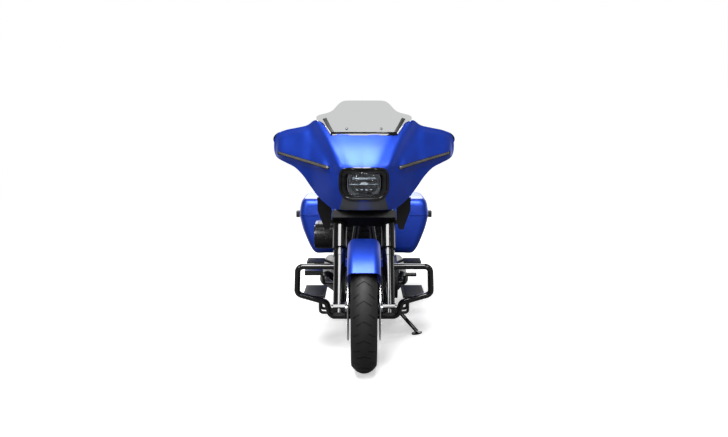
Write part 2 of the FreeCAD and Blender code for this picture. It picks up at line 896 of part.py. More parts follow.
front_fender_reach = d.front_tyre_radius + d.front_fender_gap + d.front_fender_wall
front_guard = mudguard("FrontFenderShell", front_axle, front_fender_reach,
                       d.front_fender_half_width, d.front_fender_wall,
                       d.front_fender_shoulder, d.front_fender_depth,
                       d.front_fender_front_angle, d.front_fender_rear_angle)
lug_place = on_fork(d.slider_length * 0.72)
lug_half = d.slider_radius * 0.6
fender_lugs = [
    box("FrontFenderLug" + str(i), x,
        (lug_place[1] - lug_half, lug_place[1] + lug_half),
        (lug_place[2] - lug_half, lug_place[2] + lug_half))
    for i, x in enumerate((
        (d.front_fender_half_width - d.front_fender_wall, d.fork_half_spacing - d.slider_radius - d.seam_gap),
        (-(d.fork_half_spacing - d.slider_radius - d.seam_gap),
         -(d.front_fender_half_width - d.front_fender_wall))))]
node("front_fender", fuse("FrontFender", [front_guard] + fender_lugs))
rear_fender_reach = d.rear_tyre_radius + d.rear_fender_gap + d.rear_fender_wall
node("rear_fender", fuse("RearFender", [mudguard(
    "RearFenderShell", rear_axle, rear_fender_reach, d.rear_fender_half_width,
    d.rear_fender_wall, d.rear_fender_shoulder, d.rear_fender_depth,
    d.rear_fender_front_angle, d.rear_fender_rear_angle)]))

# The fairing. Its skin is one smooth face over a grid of poles: columns run outward in shares of
# the half width, rows upward in shares of the height, and the depths run back from the nose.
column_shares = (0.0, 0.19, 0.36, 0.54, 0.72, 0.91, 1.05)
row_shares = (-0.04, 0.14, 0.32, 0.50, 0.65, 0.78, 0.89, 1.02)
skin_depth_shares = (
    (0.13, 0.16, 0.35, 0.53, 0.69, 0.83, 0.92),
    (0.04, 0.07, 0.25, 0.51, 0.68, 0.83, 0.92),
    (0.00, 0.03, 0.21, 0.46, 0.64, 0.81, 0.91),
    (0.04, 0.06, 0.22, 0.43, 0.62, 0.78, 0.90),
    (0.13, 0.15, 0.25, 0.46, 0.65, 0.81, 0.94),
    (0.25, 0.27, 0.34, 0.54, 0.74, 0.88, 0.99),
    (0.37, 0.38, 0.43, 0.62, 0.81, 0.94, 1.04),
    (0.51, 0.51, 0.56, 0.74, 0.90, 1.02, 1.11),
)
dash_depth_shares = (
    (0.61, 0.61, 0.63, 0.68, 0.76, 0.88, 0.97),
    (0.61, 0.61, 0.63, 0.68, 0.76, 0.88, 0.97),
    (0.61, 0.61, 0.63, 0.68, 0.76, 0.88, 0.97),
    (0.61, 0.61, 0.63, 0.67, 0.75, 0.88, 0.98),
    (0.58, 0.58, 0.60, 0.66, 0.77, 0.91, 1.02),
    (0.54, 0.54, 0.57, 0.66, 0.80, 0.96, 1.07),
    (0.50, 0.51, 0.56, 0.70, 0.88, 1.01, 1.10),
    (0.52, 0.54, 0.61, 0.79, 0.95, 1.06, 1.13),
)


def grid_face(name, depth_shares):
    half, bottom = float(d.fairing_half_width), float(d.fairing_bottom_z)
    height, nose, depth = float(d.fairing_height), float(d.fairing_nose_y), float(d.fairing_depth)
    rows = []
    for row_share, depths in zip(row_shares, depth_shares):
        right = [
            Vector(half * share, nose + depth * back, bottom + height * row_share)
            for share, back in zip(column_shares, depths)]
        left = [Vector(-p.x, p.y, p.z) for p in right[:0:-1]]
        rows.append(left + right)
    degree = 3
    down, across = len(rows), len(rows[0])
    surface = Part.BSplineSurface()
    surface.buildFromPolesMultsKnots(
        rows,
        [degree + 1] + [1] * (down - degree - 1) + [degree + 1],
        [degree + 1] + [1] * (across - degree - 1) + [degree + 1],
        [i / (down - degree) for i in range(down - degree + 1)],
        [i / (across - degree) for i in range(across - degree + 1)],
        False, False, degree, degree)
    obj = doc.addObject("Part::Feature", name)
    obj.Shape = surface.toShape()
    return obj


fairing_face = grid_face("FairingFace", skin_depth_shares)
dash_face = grid_face("DashFace", dash_depth_shares)


def skin(name, face, shift, thickness):
    """The face moved along Y and given a thickness to the rear."""
    obj = doc.addObject("Part::Extrusion", name)
    obj.Base = face
    obj.DirMode = "Custom"
    obj.Dir = axis_y
    obj.LengthFwd = float(thickness)
    bind(obj, "LengthFwd", thickness)
    obj.Solid = True
    obj.Placement.Base.y = float(shift)
    bind(obj, "Placement.Base.y", shift)
    return obj


def prism(name, outline, bend=None):
    """A straight prism along Y through the whole fairing, from an outline of (x, z)."""
    front = float(d.fairing_nose_y - d.fairing_depth * 0.5)
    points = [Vector(float(x), front, float(z)) for x, z in outline]
    wire = rounded_outline(points, bend) if bend else closed_outline(points)
    return slab(name, wire, Vector(0, float(d.fairing_depth) * 2.2, 0))


def both_ways(half_outline):
    """An outline from its right half, which runs from the bottom up."""
    return half_outline + [(x * -1, z) for x, z in reversed(half_outline)]


def fairing_point(x_share, z_share):
    return (d.fairing_half_width * x_share, d.fairing_bottom_z + d.fairing_height * z_share)


def lamp_point(half_width, bottom, height, x_share, z_share):
    return (half_width * x_share, bottom + height * z_share)


outline_shares = (
    (0.265, 0.0), (0.355, 0.02), (0.428, 0.075), (0.496, 0.139), (0.579, 0.252), (0.655, 0.364),
    (0.746, 0.455), (0.851, 0.508), (0.959, 0.561), (0.992, 0.638), (1.0, 0.733), (0.981, 0.826),
    (0.878, 0.883), (0.771, 0.909), (0.62, 0.94), (0.541, 1.0), (0.444, 0.969), (0.364, 0.85))
fairing_prism = prism("FairingPrism", both_ways([fairing_point(*p) for p in outline_shares]))
bezel_shares = ((0.56, 0.0), (0.87, 0.1), (1.0, 0.46), (0.98, 0.8), (0.86, 0.97), (0.5, 1.0))
bezel_outline = both_ways([
    lamp_point(d.bezel_half_width, d.bezel_bottom_z, d.bezel_height, *p) for p in bezel_shares])
bezel_hole = both_ways([
    lamp_point(d.bezel_half_width + d.seam_gap, d.bezel_bottom_z - d.seam_gap,
               d.bezel_height + d.seam_gap * 2, *p) for p in bezel_shares])
lamp_shares = ((0.3, 0.0), (0.72, 0.14), (0.96, 0.42), (1.0, 0.76), (0.88, 0.96), (0.6, 1.0))
lamp_outline = both_ways([
    lamp_point(d.lamp_half_width, d.lamp_bottom_z, d.lamp_height, *p) for p in lamp_shares])
lamp_hole = both_ways([
    lamp_point(d.lamp_half_width + d.seam_gap, d.lamp_bottom_z - d.seam_gap,
               d.lamp_height + d.seam_gap * 2, *p) for p in lamp_shares])
skirt_top = d.bezel_bottom_z + d.bezel_height * 0.07
skirt_outline = [
    (d.bezel_half_width * 1.02, d.fairing_bottom_z - d.overrun),
    (d.bezel_half_width * 0.88, skirt_top),
    (-(d.bezel_half_width * 0.88), skirt_top),
    (-(d.bezel_half_width * 1.02), d.fairing_bottom_z - d.overrun)]


def strip_outline(grow):
    """The slanting light strip under a wing, grown all round by a gap."""
    return [
        (d.strip_inner_x - grow, d.strip_inner_z - grow),
        (d.strip_outer_x + grow, d.strip_outer_z - grow),
        (d.strip_outer_x + grow, d.strip_outer_z + d.strip_height * 0.8 + grow),
        (d.strip_inner_x - grow, d.strip_inner_z + d.strip_height + grow)]


bezel_prism = prism("BezelPrism", bezel_outline)
bezel_opening = prism("BezelOpening", bezel_hole)
lamp_prism = prism("LampPrism", lamp_outline)
lamp_opening = prism("LampOpening", lamp_hole)
skirt_prism = prism("SkirtPrism", skirt_outline)
strip_prism = prism("StripPrism", strip_outline(Size(0.0, "0")))
strip_opening = prism("StripOpening", strip_outline(d.seam_gap))
fairing_skin = skin("FairingSkin", fairing_face, 0, d.fairing_wall)
fairing_plate = common("FairingPlate", [fairing_skin, fairing_prism])
node("fairing_outer", cut("FairingOuter", fairing_plate, [
    bezel_opening, skirt_prism, strip_opening, mirrored("StripOpeningRight", strip_opening)]))
skirt_skin = skin("SkirtSkin", fairing_face, d.seam_gap, d.fairing_wall)
node("fairing_skirt", cut("FairingSkirt", common("SkirtPlate", [
    skirt_skin, prism("SkirtFit", [(x * 0.996, z) for x, z in skirt_outline]),
    fairing_prism]), [bezel_opening]))
bezel_back = d.fairing_nose_y + d.bezel_depth
bezel_room = box("BezelRoom", (-(d.bezel_half_width * 1.2), d.bezel_half_width * 1.2),
                 (bezel_back - d.bezel_depth * 2, bezel_back),
                 (d.bezel_bottom_z * 0.9, d.bezel_bottom_z + d.bezel_height * 1.2))
bezel_body = common("BezelBody", [
    skin("BezelSkin", fairing_face, -d.bezel_stand, d.bezel_stand + d.bezel_depth), bezel_prism,
    bezel_room])
node("headlight_bezel", cut("HeadlightBezel", bezel_body, [lamp_opening]))
node("headlight", common("Headlight", [
    skin("LampSkin", fairing_face, d.lamp_recess, d.lamp_depth), lamp_prism]))
strip = common("LightStripLeft", [
    skin("StripSkin", fairing_face, -d.strip_stand, d.strip_stand + d.fairing_wall), strip_prism])
node("light_strips", gather("LightStrips", [strip, mirrored("LightStripRight", strip)]))

# Arms from the upper clamp carry the fairing by the flat back of the headlight's housing.
arm_x = d.bezel_half_width * 0.8
fairing_arms = []
for side in both_sides:
    root = on_fork(d.upper_clamp_place, arm_x * side, d.clamp_front_reach * 0.85)
    fairing_arms.append(cylinder(
        "FairingArm" + str(len(fairing_arms)), (root[0], bezel_back + d.seam_gap, root[2]),
        (0, 1, 0), d.bar_radius, root[1] - bezel_back))
lower_z = on_fork(d.lower_clamp_place)[2] + d.clamp_thickness * 1.15
upper_z = on_fork(d.upper_clamp_place)[2] - d.clamp_thickness * 0.45
stubs = []
for seat_z, clamp_z in ((lower_z - d.seam_gap, lower_z - d.clamp_thickness),
                        (upper_z + d.seam_gap, upper_z + d.clamp_thickness * 0.9)):
    stubs.append(rod("StemStub" + str(len(stubs)), (0, stem_y(seat_z), seat_z),
                     (0, stem_y(clamp_z), clamp_z), d.stem_radius))
node("steering_clamps", fuse("SteeringClamps", [clamps] + fairing_arms + stubs))

# Rider's side of the fairing: a band inside the edge and the dash behind the fork.
inner_shares = [(x * 0.985, 0.012 + z * 0.976) for x, z in outline_shares]
band_shares = [(x * 0.955, 0.035 + z * 0.93) for x, z in outline_shares]
band_outer = prism("BandOuter", both_ways([fairing_point(*p) for p in inner_shares]))
band_inner = prism("BandInner", both_ways([fairing_point(*p) for p in band_shares]))
band = cut("FairingBand", common("BandBody", [
    skin("BandSkin", fairing_face, d.fairing_wall + d.seam_gap, d.fairing_depth * 0.16),
    band_outer]), [band_inner])
dash_floor = d.bar_z - d.bar_radius
dash = common("DashPlate", [skin("DashSkin", dash_face, 0, d.fairing_wall), band_outer])
top_room = box("FairingTopRoom", (-(d.fairing_half_width * 1.2), d.fairing_half_width * 1.2),
               (d.fairing_nose_y * 1.2, d.fairing_nose_y * 0.2),
               (dash_floor, dash_floor + d.fairing_height))
node("fairing_inner", common("FairingInner", [fuse("FairingInside", [band, dash]), top_room]))

# Windshield: a shallow curved screen in front of the fairing's upper edge.
shield_outline_shares = (
    (0.62, 0.0), (0.8, 0.24), (0.93, 0.36), (1.0, 0.45), (0.86, 0.56), (0.75, 0.71),
    (0.63, 0.9), (0.44, 1.0))
shield_rise_shares = (-0.3, 0.1, 0.4, 0.7, 1.1)
shield_back_shares = (0.0, 0.02, 0.1, 0.28, 0.6)
shield_columns = (0.0, 0.28, 0.55, 0.82, 1.15)
shield_rows = []
for rise in shield_rise_shares:
    right_side = [
        Vector(float(d.shield_half_width) * column,
               float(d.shield_base_y) + float(d.shield_depth) * (rise + back * 0.8),
               float(d.shield_base_z) + float(d.shield_height) * rise)
        for column, back in zip(shield_columns, shield_back_shares)]
    shield_rows.append([Vector(-p.x, p.y, p.z) for p in right_side[:0:-1]] + right_side)
shield_surface = Part.BSplineSurface()
shield_surface.interpolate(shield_rows)
shield_face = doc.addObject("Part::Feature", "ShieldFace")
shield_face.Shape = shield_surface.toShape()
shield_prism = prism("ShieldPrism", both_ways([
    (d.shield_half_width * x, d.shield_base_z - d.shield_height * 0.13 + d.shield_height * 1.13 * z)
    for x, z in shield_outline_shares]), d.bar_radius)
node("windshield", common("Windshield", [
    skin("ShieldSkin", shield_face, -d.shield_wall * 3, d.shield_wall), shield_prism]))

# Handlebar with grips, levers and switch housings.
bar_y = stem_y(d.bar_z) + d.clamp_rear_reach * 1.5
grip_end = (d.grip_inner_x + d.grip_length, d.grip_inner_y + d.grip_sweep, d.grip_z - d.grip_fall)
bar_half = [
    (d.fork_half_spacing * 0.65, bar_y, d.bar_z),
    (d.grip_inner_x * 0.66, bar_y + d.bar_bend_radius * 0.7, d.bar_z + (d.grip_z - d.bar_z) * 0.8),
    (d.grip_inner_x, d.grip_inner_y, d.grip_z),
    grip_end]


def other_side(points):
    return [(x * -1, y, z) for x, y, z in points]


bar = tube("HandlebarTube", other_side(bar_half[::-1]) + bar_half, d.bar_radius, d.bar_bend_radius)
risers = [
    rod("Riser" + str(i), on_fork(d.upper_clamp_place, x), (x, bar_y, d.bar_z), d.bar_radius * 1.2)
    for i, x in enumerate((d.fork_half_spacing * 0.4, -(d.fork_half_spacing * 0.4)))]
node("handlebar", cut("Handlebar", fuse("HandlebarBody", [bar] + risers), [
    primitive("Box", "RiserTrim", on_fork(d.upper_clamp_place - d.clamp_thickness,
                                          -d.clamp_half_width, d.clamp_front_reach),
              FreeCAD.Rotation(axis_x, -float(d.fork_angle)), Length=d.clamp_half_width * 2,
              Width=d.clamp_front_reach * 2, Height=d.clamp_thickness * 1.5 + d.seam_gap)]))
grips, controls = [], []
for side in both_sides:
    inner = Vector(float(d.grip_inner_x) * side, float(d.grip_inner_y), float(d.grip_z))
    outer = Vector(float(grip_end[0]) * side, float(grip_end[1]), float(grip_end[2]))
    along = (outer - inner).normalize()
    start = inner + along * float(d.bar_radius)
    end = outer + along * float(d.seam_gap)
    tag = str(len(grips))
    grips.append(cut("Grip" + tag, rod("GripBody" + tag, start, end + along * float(d.bar_radius) * 0.4,
                                       d.grip_radius),
                     [rod("GripBore" + tag, start - along, end, d.bar_radius + d.seam_gap)]))
    ahead = Vector(-along.y, along.x, 0) * (-side) * float(d.lever_reach)
    ahead = ahead if ahead.y < 0 else ahead * -1
    back = inner - along * float(d.control_length) * 0.9
    housing = rod("SwitchBody" + tag, back, inner + along * float(d.bar_radius) * 0.9, d.control_radius)
    perch = rod("Perch" + tag, back + along * float(d.control_radius), back + ahead
                + along * float(d.control_radius), d.bar_radius)
    lever = tube("Lever" + tag, [
        back + ahead + along * float(d.control_radius),
        inner + ahead * 0.95 + along * float(d.grip_length) * 0.45,
        outer + ahead * 0.72 + along * float(d.lever_radius)], d.lever_radius, d.bar_bend_radius * 4)
    ball = primitive("Sphere", "LeverBall" + tag,
                     tuple(outer + ahead * 0.72 + along * float(d.lever_radius)),
                     Radius=d.lever_radius * 1.7)
    reservoir = rod("Reservoir" + tag, back + along * float(d.control_radius) + ahead * 0.45,
                    back + along * float(d.control_radius) + ahead * 0.45
                    + axis_z * float(d.control_radius) * 1.5, d.control_radius * 0.9)
    body = fuse("Control" + tag, [housing, perch, lever, ball, reservoir])
    controls.append(cut("ControlBored" + tag, body, [nodes["handlebar"]]))
node("grips", gather("Grips", grips))
node("hand_controls", gather("HandControls", controls))

# Mirrors on short stems behind the wing tips.
mirror_head = primitive("Ellipsoid", "MirrorHead", (d.mirror_x, d.mirror_y, d.mirror_z),
                        FreeCAD.Rotation(axis_x, 90), Radius1=d.mirror_half_depth,
                        Radius2=d.mirror_half_width, Radius3=d.mirror_half_height,
                        Angle1=-90, Angle2=90)
mirror_stem = rod("MirrorStem", (d.mirror_x * 0.93, d.mirror_y - d.mirror_half_depth * 3.4, d.mirror_z),
                  (d.mirror_x * 0.96, d.mirror_y, d.mirror_z), d.bar_radius * 0.8)
mirror = fuse("MirrorLeft", [mirror_head, mirror_stem])
node("mirrors", cut("Mirrors", gather("MirrorPair", [mirror, mirrored("MirrorRight", mirror)]),
                    [nodes["fairing_inner"]]))

# Wind deflectors carried by the fork covers.
deflector_shares = ((0.7, 1.0), (1.0, 1.0), (0.99, 0.6), (0.84, 0.0), (0.74, 0.03), (0.69, 0.3))
deflector_y = on_fork(d.lower_clamp_place)[1] + d.deflector_wall * 2
deflector_blade = slab("DeflectorBlade", closed_outline([
    Vector(float(d.deflector_outer_x) * x, float(deflector_y),
           float(d.deflector_top_z - d.deflector_height) + float(d.deflector_height) * z)
    for x, z in deflector_shares]), Vector(0, float(d.deflector_wall), 0))
deflector_lug_z = on_fork(d.lower_clamp_place)[2] - d.deflector_wall
deflector_lug = box("DeflectorLug", (d.clamp_half_width + d.seam_gap, d.deflector_outer_x * 0.72),
                    (deflector_y, deflector_y + d.deflector_wall),
                    (deflector_lug_z - d.deflector_wall, deflector_lug_z + d.deflector_wall))
deflector = fuse("DeflectorLeft", [deflector_blade, deflector_lug])
node("deflectors", gather("Deflectors", [deflector, mirrored("DeflectorRight", deflector)]))

# Front calipers, behind the sliders and astride the discs.
def caliper(name, axle, radius, bearing, x, length, height, half_width):
    """A block astride a disc, at an angle behind the axle, slotted for the disc."""
    turn = FreeCAD.Rotation(axis_x, bearing)
    corner = turn.multVec(Vector(-float(half_width), -float(length) / 2, float(radius)))
    place = Vector(float(x), float(axle[1]), float(axle[2])) + corner
    block = primitive("Box", name + "Block", tuple(place), turn,
                      Length=half_width * 2, Width=length, Height=height)
    slot = turned(name + "Slot", "XZ_Plane", [
        (x - d.disc_thickness * 0.9, radius * 0.5), (x + d.disc_thickness * 0.9, radius * 0.5),
        (x + d.disc_thickness * 0.9, radius + height * 0.72 + d.running_gap),
        (x - d.disc_thickness * 0.9, radius + height * 0.72 + d.running_gap)], place=axle)
    return cut(name, block, [slot])


caliper_bearing = -float(d.fork_angle) - 68
caliper_block = caliper("FrontCaliperBlock", front_axle,
                        d.front_disc_radius - d.caliper_height * 0.72, caliper_bearing,
                        d.front_disc_x, d.caliper_length, d.caliper_height, d.caliper_half_width)
lug_radius = d.caliper_half_width * 0.375
lug_x = d.front_disc_x + d.disc_thickness * 0.5 + d.running_gap + lug_radius
caliper_lugs = []
for share in (-0.3, 0.3):
    spot = FreeCAD.Rotation(axis_x, caliper_bearing).multVec(Vector(
        0, float(d.caliper_length) * share, float(d.front_disc_radius - d.caliper_height * 0.22)))
    caliper_lugs.append(rod(
        "CaliperLug" + str(len(caliper_lugs)), on_fork(d.slider_length * (0.165 - share * 0.3), lug_x),
        (lug_x, front_axle[1] + spot.y, front_axle[2] + spot.z), lug_radius))
front_caliper = cut("FrontCaliperLeft", fuse("FrontCaliperBody", [caliper_block] + caliper_lugs),
                    [nodes["front_fork"]])
node("front_calipers", gather("FrontCalipers", [
    front_caliper, mirrored("FrontCaliperRight", front_caliper)]))

rail_half_width = d.rear_fender_half_width + d.frame_tube_radius + d.seam_gap

# Frame: neck, backbone and two side tubes that run from the neck, under the engine, up past the
# swinging arm's pivot and back beside the rear mudguard.
neck = rod("Neck", (0, stem_y(lower_z), lower_z), (0, stem_y(upper_z), upper_z), d.neck_radius)
neck_z = (lower_z + upper_z) * 0.5
tank_middle_y = d.tank_front_y + d.tank_length * 0.5
backbone = tube("Backbone", [
    (0, stem_y(neck_z), neck_z),
    (0, d.tank_front_y - d.frame_tube_radius, d.backbone_z + d.main_tube_radius * 0.64),
    (0, d.tank_front_y + d.tank_length + d.main_tube_radius * 1.4, d.backbone_z - d.main_tube_radius),
    (0, d.pivot_y - d.main_tube_radius, d.rail_z)], d.main_tube_radius, d.frame_bend_radius)


def side_tube(name, side):
    points = [
        (d.neck_radius * 0.6, stem_y(neck_z), neck_z),
        (d.neck_radius * 1.06, d.tank_front_y - d.tank_height * 0.37, d.tank_bottom_z),
        (d.neck_radius * 1.7, d.tank_front_y, d.rail_z - d.tank_height * 0.28),
        (d.cradle_front_half_width, d.guard_y + d.guard_tube_radius + d.frame_tube_radius
         + d.seam_gap, d.cradle_z),
        (d.cradle_half_width, d.pivot_y + d.seam_gap, d.cradle_z),
        (d.cradle_half_width, d.pivot_y + d.seam_gap, d.rail_z - d.frame_bend_radius * 2.4),
        (rail_half_width, d.pivot_y + d.frame_bend_radius, d.rail_z),
        (rail_half_width, rear_axle_y + rail_half_width * 1.5, d.rail_z)]
    return tube(name, [(x * side, y, z) for x, y, z in points], d.frame_tube_radius,
                d.frame_bend_radius * 0.7)


cross_tubes = [
    cylinder("CrossTube" + str(i), (-(half), y, z), (1, 0, 0), d.frame_tube_radius, half * 2)
    for i, (half, y, z) in enumerate((
        (rail_half_width, d.pivot_y + d.frame_bend_radius * 1.3, d.rail_z),
        (d.cradle_half_width * 0.84, d.crank_y + d.case_radius * 1.35, d.cradle_z)))]
eye_reach = d.stand_radius * 2.05 + d.seam_gap
stand_bracket = box("StandBracket", (d.cradle_front_half_width * 1.2, d.stand_pivot_x - eye_reach),
                    (d.stand_pivot_y - d.stand_radius * 1.5, d.stand_pivot_y + d.stand_radius * 1.5),
                    (d.cradle_z - d.stand_radius * 0.5, d.stand_pivot_z + d.stand_radius))
node("frame", fuse("Frame", [neck, backbone, side_tube("SideTubeLeft", 1),
                             side_tube("SideTubeRight", -1), stand_bracket] + cross_tubes))

# Swinging arm, axle and shocks.
arm_half = d.arm_height * 0.5
arm_outer_x = d.arm_inner_x + d.arm_width


def arm(name, side):
    return padded(name, "YZ_Plane", [
        (d.pivot_y - arm_half, d.pivot_z - arm_half),
        (rear_axle_y + arm_half, rear_axle_z - arm_half * 0.8),
        (rear_axle_y + arm_half * 1.4, rear_axle_z),
        (rear_axle_y + arm_half, rear_axle_z + arm_half * 0.8),
        (d.pivot_y + d.pivot_tube_radius * 2, d.pivot_z + arm_half * 1.25),
        (d.pivot_y - arm_half, d.pivot_z + arm_half),
    ], d.arm_width, place=((d.arm_inner_x + d.arm_width * 0.5) * side, 0, 0))


pivot_tube = cylinder("PivotTube", (-d.arm_inner_x, d.pivot_y, d.pivot_z), (1, 0, 0),
                      d.pivot_tube_radius, d.arm_inner_x * 2)
rear_axle_end = arm_outer_x + d.seam_gap
rear_axle_parts = [cylinder("RearAxleBar", (-rear_axle_end, rear_axle_y, rear_axle_z), (1, 0, 0),
                            d.axle_radius, rear_axle_end * 2)]
rear_axle_parts = rear_axle_parts + [
    cylinder("RearAxleHead" + str(i), (x, rear_axle_y, rear_axle_z), (1, 0, 0),
             d.axle_head_radius, d.axle_head_length)
    for i, x in enumerate((rear_axle_end, -(rear_axle_end + d.axle_head_length)))]
node("swingarm", fuse("Swingarm", [arm("ArmLeft", 1), arm("ArmRight", -1), pivot_tube]
                      + rear_axle_parts))


def shock(name, side):
    foot_y = rear_axle_y - d.arm_height * 1.6
    foot = (d.shock_x * side, foot_y, d.pivot_z + arm_half + d.shock_radius * 0.4)
    head = (d.shock_x * side, foot_y - d.arm_height * 1.5, d.rail_z - d.frame_tube_radius * 0.9)
    middle = tuple(Vector(*foot) * 0.4 + Vector(*head) * 0.6)
    return fuse(name, [rod(name + "Rod", foot, head, d.shock_radius * 0.7),
                       rod(name + "Body", middle, head, d.shock_radius)])


shocks = gather("ShockPair", [shock("ShockLeft", 1), shock("ShockRight", -1)])
node("shocks", cut("Shocks", shocks, [nodes["swingarm"], nodes["frame"]]))

# Belt between the gearbox's pulley and the wheel's.
output_y = d.pivot_y - d.gearbox_length
belt_parts = []
for tag, grow in (("Outer", d.belt_thickness + d.seam_gap), ("Inner", d.seam_gap * 1.0)):
    small = float(d.engine_pulley_radius + grow)
    large = float(d.rear_pulley_radius + grow)
    near = Vector(float(pulley_inner), float(output_y), float(d.pivot_z))
    far = Vector(float(pulley_inner), float(rear_axle_y), float(rear_axle_z))
    run = far - near
    tilt = math.acos((small - large) / run.Length)
    heading = math.atan2(run.z, run.y)
    ends = []
    for sign in both_sides:
        turn = heading + tilt * sign
        aim = Vector(0, math.cos(turn), math.sin(turn))
        ends.append((near + aim * small, far + aim * large))
    (near_top, far_top), (near_low, far_low) = ends
    back = run.normalize()
    wire = Part.Wire([
        Part.makeLine(near_top, far_top),
        Part.Arc(far_top, far + back * large, far_low).toShape(),
        Part.makeLine(far_low, near_low),
        Part.Arc(near_low, near - back * small, near_top).toShape()])
    belt_parts.append(slab("Belt" + tag, wire, Vector(float(d.belt_width), 0, 0)))
node("drive_belt", cut("DriveBelt", belt_parts[0], belt_parts[1:]))
front_pulley = fuse("FrontPulley", [
    cylinder("FrontPulleyDisc", (pulley_inner, output_y, d.pivot_z), (1, 0, 0),
             d.engine_pulley_radius, d.belt_width),
    cylinder("FrontPulleyShaft", (d.case_half_width * 0.9, output_y, d.pivot_z), (1, 0, 0),
             d.axle_head_radius, pulley_outer - d.case_half_width * 0.9)])

# Rear caliper on the right arm.
node("rear_caliper", fuse("RearCaliper", [caliper(
    "RearCaliperBlock", rear_axle, d.rear_disc_radius - d.caliper_height * 0.72, 62,
    -d.rear_disc_x, d.caliper_length, d.caliper_height, d.caliper_half_width)]))

# Engine: cases, two finned cylinders with heads and rocker covers, and the side covers.
cylinder_turns = [FreeCAD.Rotation(axis_x, float(d.cylinder_angle) * side) for side in both_sides]
crank = (0, d.crank_y, d.crank_z)


def on_cylinder(name, turn, kind, half_x, half_y, low, high):
    """A block square to a cylinder, between two heights above the crank."""
    corner = turn.multVec(Vector(-float(half_x), -float(half_y), float(low)))
    place = tuple(Vector(*crank) + corner)
    return primitive(kind, name, place, turn, Length=half_x * 2, Width=half_y * 2, Height=high - low)


deck = d.deck_height
head_low = deck + d.barrel_height
head_top = head_low + d.head_height
rocker_top = head_top + d.rocker_height
case_round = cylinder("CaseRound", (-d.case_half_width, d.crank_y, d.crank_z), (1, 0, 0),
                      d.case_radius, d.case_half_width * 2)
case_decks = [on_cylinder("CaseDeck" + str(i), turn, "Box", d.case_half_width * 0.93,
                          d.case_half_width * 0.85, deck * 0.5, deck)
              for i, turn in enumerate(cylinder_turns)]
fin_count = int(round(float(d.barrel_height) / float(d.fin_pitch)))


def barrel(name, turn, side):
    points = [(0, deck + d.seam_gap), (d.barrel_radius, deck + d.seam_gap)]
    for index in range(fin_count):
        low = deck + d.fin_pitch * (index + 0.5)
        points = points + [(d.barrel_radius, low), (d.barrel_fin_radius, low),
                           (d.barrel_fin_radius, low + d.fin_thickness),
                           (d.barrel_radius, low + d.fin_thickness)]
    points = points + [(d.barrel_radius, head_low), (0, head_low)]
    finned = turned(name + "Finned", "XZ_Plane", points, axis="V_Axis", place=crank)
    finned.Placement.Rotation = turn
    return cut(name, finned, [other_half(name + "Far", side)])


def other_half(name, side):
    """The room on the far side of the engine's middle, so that neither cylinder crosses it."""
    reach = d.case_radius * 2
    y = (d.crank_y - d.seam_gap, d.crank_y + reach) if side > 0 else (
        d.crank_y - reach, d.crank_y + d.seam_gap)
    return box(name, (-reach, reach), y, (d.crank_z, d.crank_z + rocker_top * 1.2))


# The exhaust ports: in the front face of the front head and the rear face of the rear one.
port_x = -float(d.head_half_width) * 0.3


def port(turn, side, out):
    """A place square out from a head's exhaust face, at a distance from the face."""
    return Vector(*crank) + turn.multVec(Vector(
        port_x, side * (float(d.head_half_width + d.seam_gap) + float(out)),
        float(head_low + d.head_height * 0.45)))


pushrod_x = d.barrel_fin_radius + d.pushrod_radius + d.seam_gap * 3
rocker_half_x = pushrod_x + d.pushrod_radius * 1.3
head_fin_reach = d.barrel_fin_radius - d.head_half_width
barrels, heads = [], []
for i, (turn, side) in enumerate(zip(cylinder_turns, both_sides)):
    tag = str(i)
    barrels.append(barrel("Barrel" + tag, turn, side))
    block = on_cylinder("HeadBlock" + tag, turn, "Box", d.head_half_width, d.head_half_width,
                        head_low + d.seam_gap, head_top)
    fins = [on_cylinder("HeadFin" + tag + str(k), turn, "Box", d.barrel_fin_radius,
                        d.barrel_fin_radius, head_low + d.fin_pitch * (k + 0.4),
                        head_low + d.fin_pitch * (k + 0.4) + d.fin_thickness)
            for k in range(int(float(d.head_height) / float(d.fin_pitch)))]
    port_room = cylinder("PortRoom" + tag, tuple(port(turn, -side, 0)),
                         tuple(turn.multVec(Vector(0, -side, 0))), d.pipe_radius * 1.3,
                         head_fin_reach * 2)
    rocker_low = on_cylinder("RockerLow" + tag, turn, "Box", rocker_half_x, d.rocker_half_width,
                             head_top, head_top + d.rocker_height * 0.56)
    rocker_high = on_cylinder("RockerHigh" + tag, turn, "Box", rocker_half_x * 0.86,
                              d.rocker_half_width * 0.82, head_top, rocker_top)
    heads.append(cut("Head" + tag, fuse("HeadWhole" + tag, [
        cut("HeadFinned" + tag, fuse("HeadFins" + tag, [block] + fins), [port_room]),
        rocker_low, rocker_high]), [other_half("HeadFar" + tag, side)]))
node("cylinders", gather("Cylinders", barrels))
node("cylinder_heads", gather("CylinderHeads", heads))
cam_face = -(d.case_half_width - d.seam_gap)
cam_cover = cylinder("CamCoverPlate", (cam_face, d.crank_y, d.crank_z), (-1, 0, 0),
                     d.cam_cover_radius, d.cam_cover_depth)
cam_nose = cylinder("CamNose", (cam_face, d.crank_y, d.crank_z), (-1, 0, 0),
                    d.cam_nose_radius, d.cam_cover_depth + d.cam_nose_depth)
pushrods = []
for i, turn in enumerate(cylinder_turns):
    for j, share in enumerate((0.25, 0.62)):
        across = float(d.head_half_width) * share * (1 if i else -1)
        low = Vector(-float(pushrod_x), across * 0.4, float(d.cam_cover_radius) * 0.98)
        high = Vector(-float(pushrod_x), across, float(head_top - d.pushrod_radius * 0.18))
        pushrods.append(rod("Pushrod" + str(i) + str(j), tuple(Vector(*crank) + turn.multVec(low)),
                            tuple(Vector(*crank) + turn.multVec(high)), d.pushrod_radius))
node("pushrod_tubes", cut("PushrodTubes", gather("PushrodSet", pushrods), [cam_cover]))
gearbox_start = d.crank_y + d.case_radius + d.seam_gap
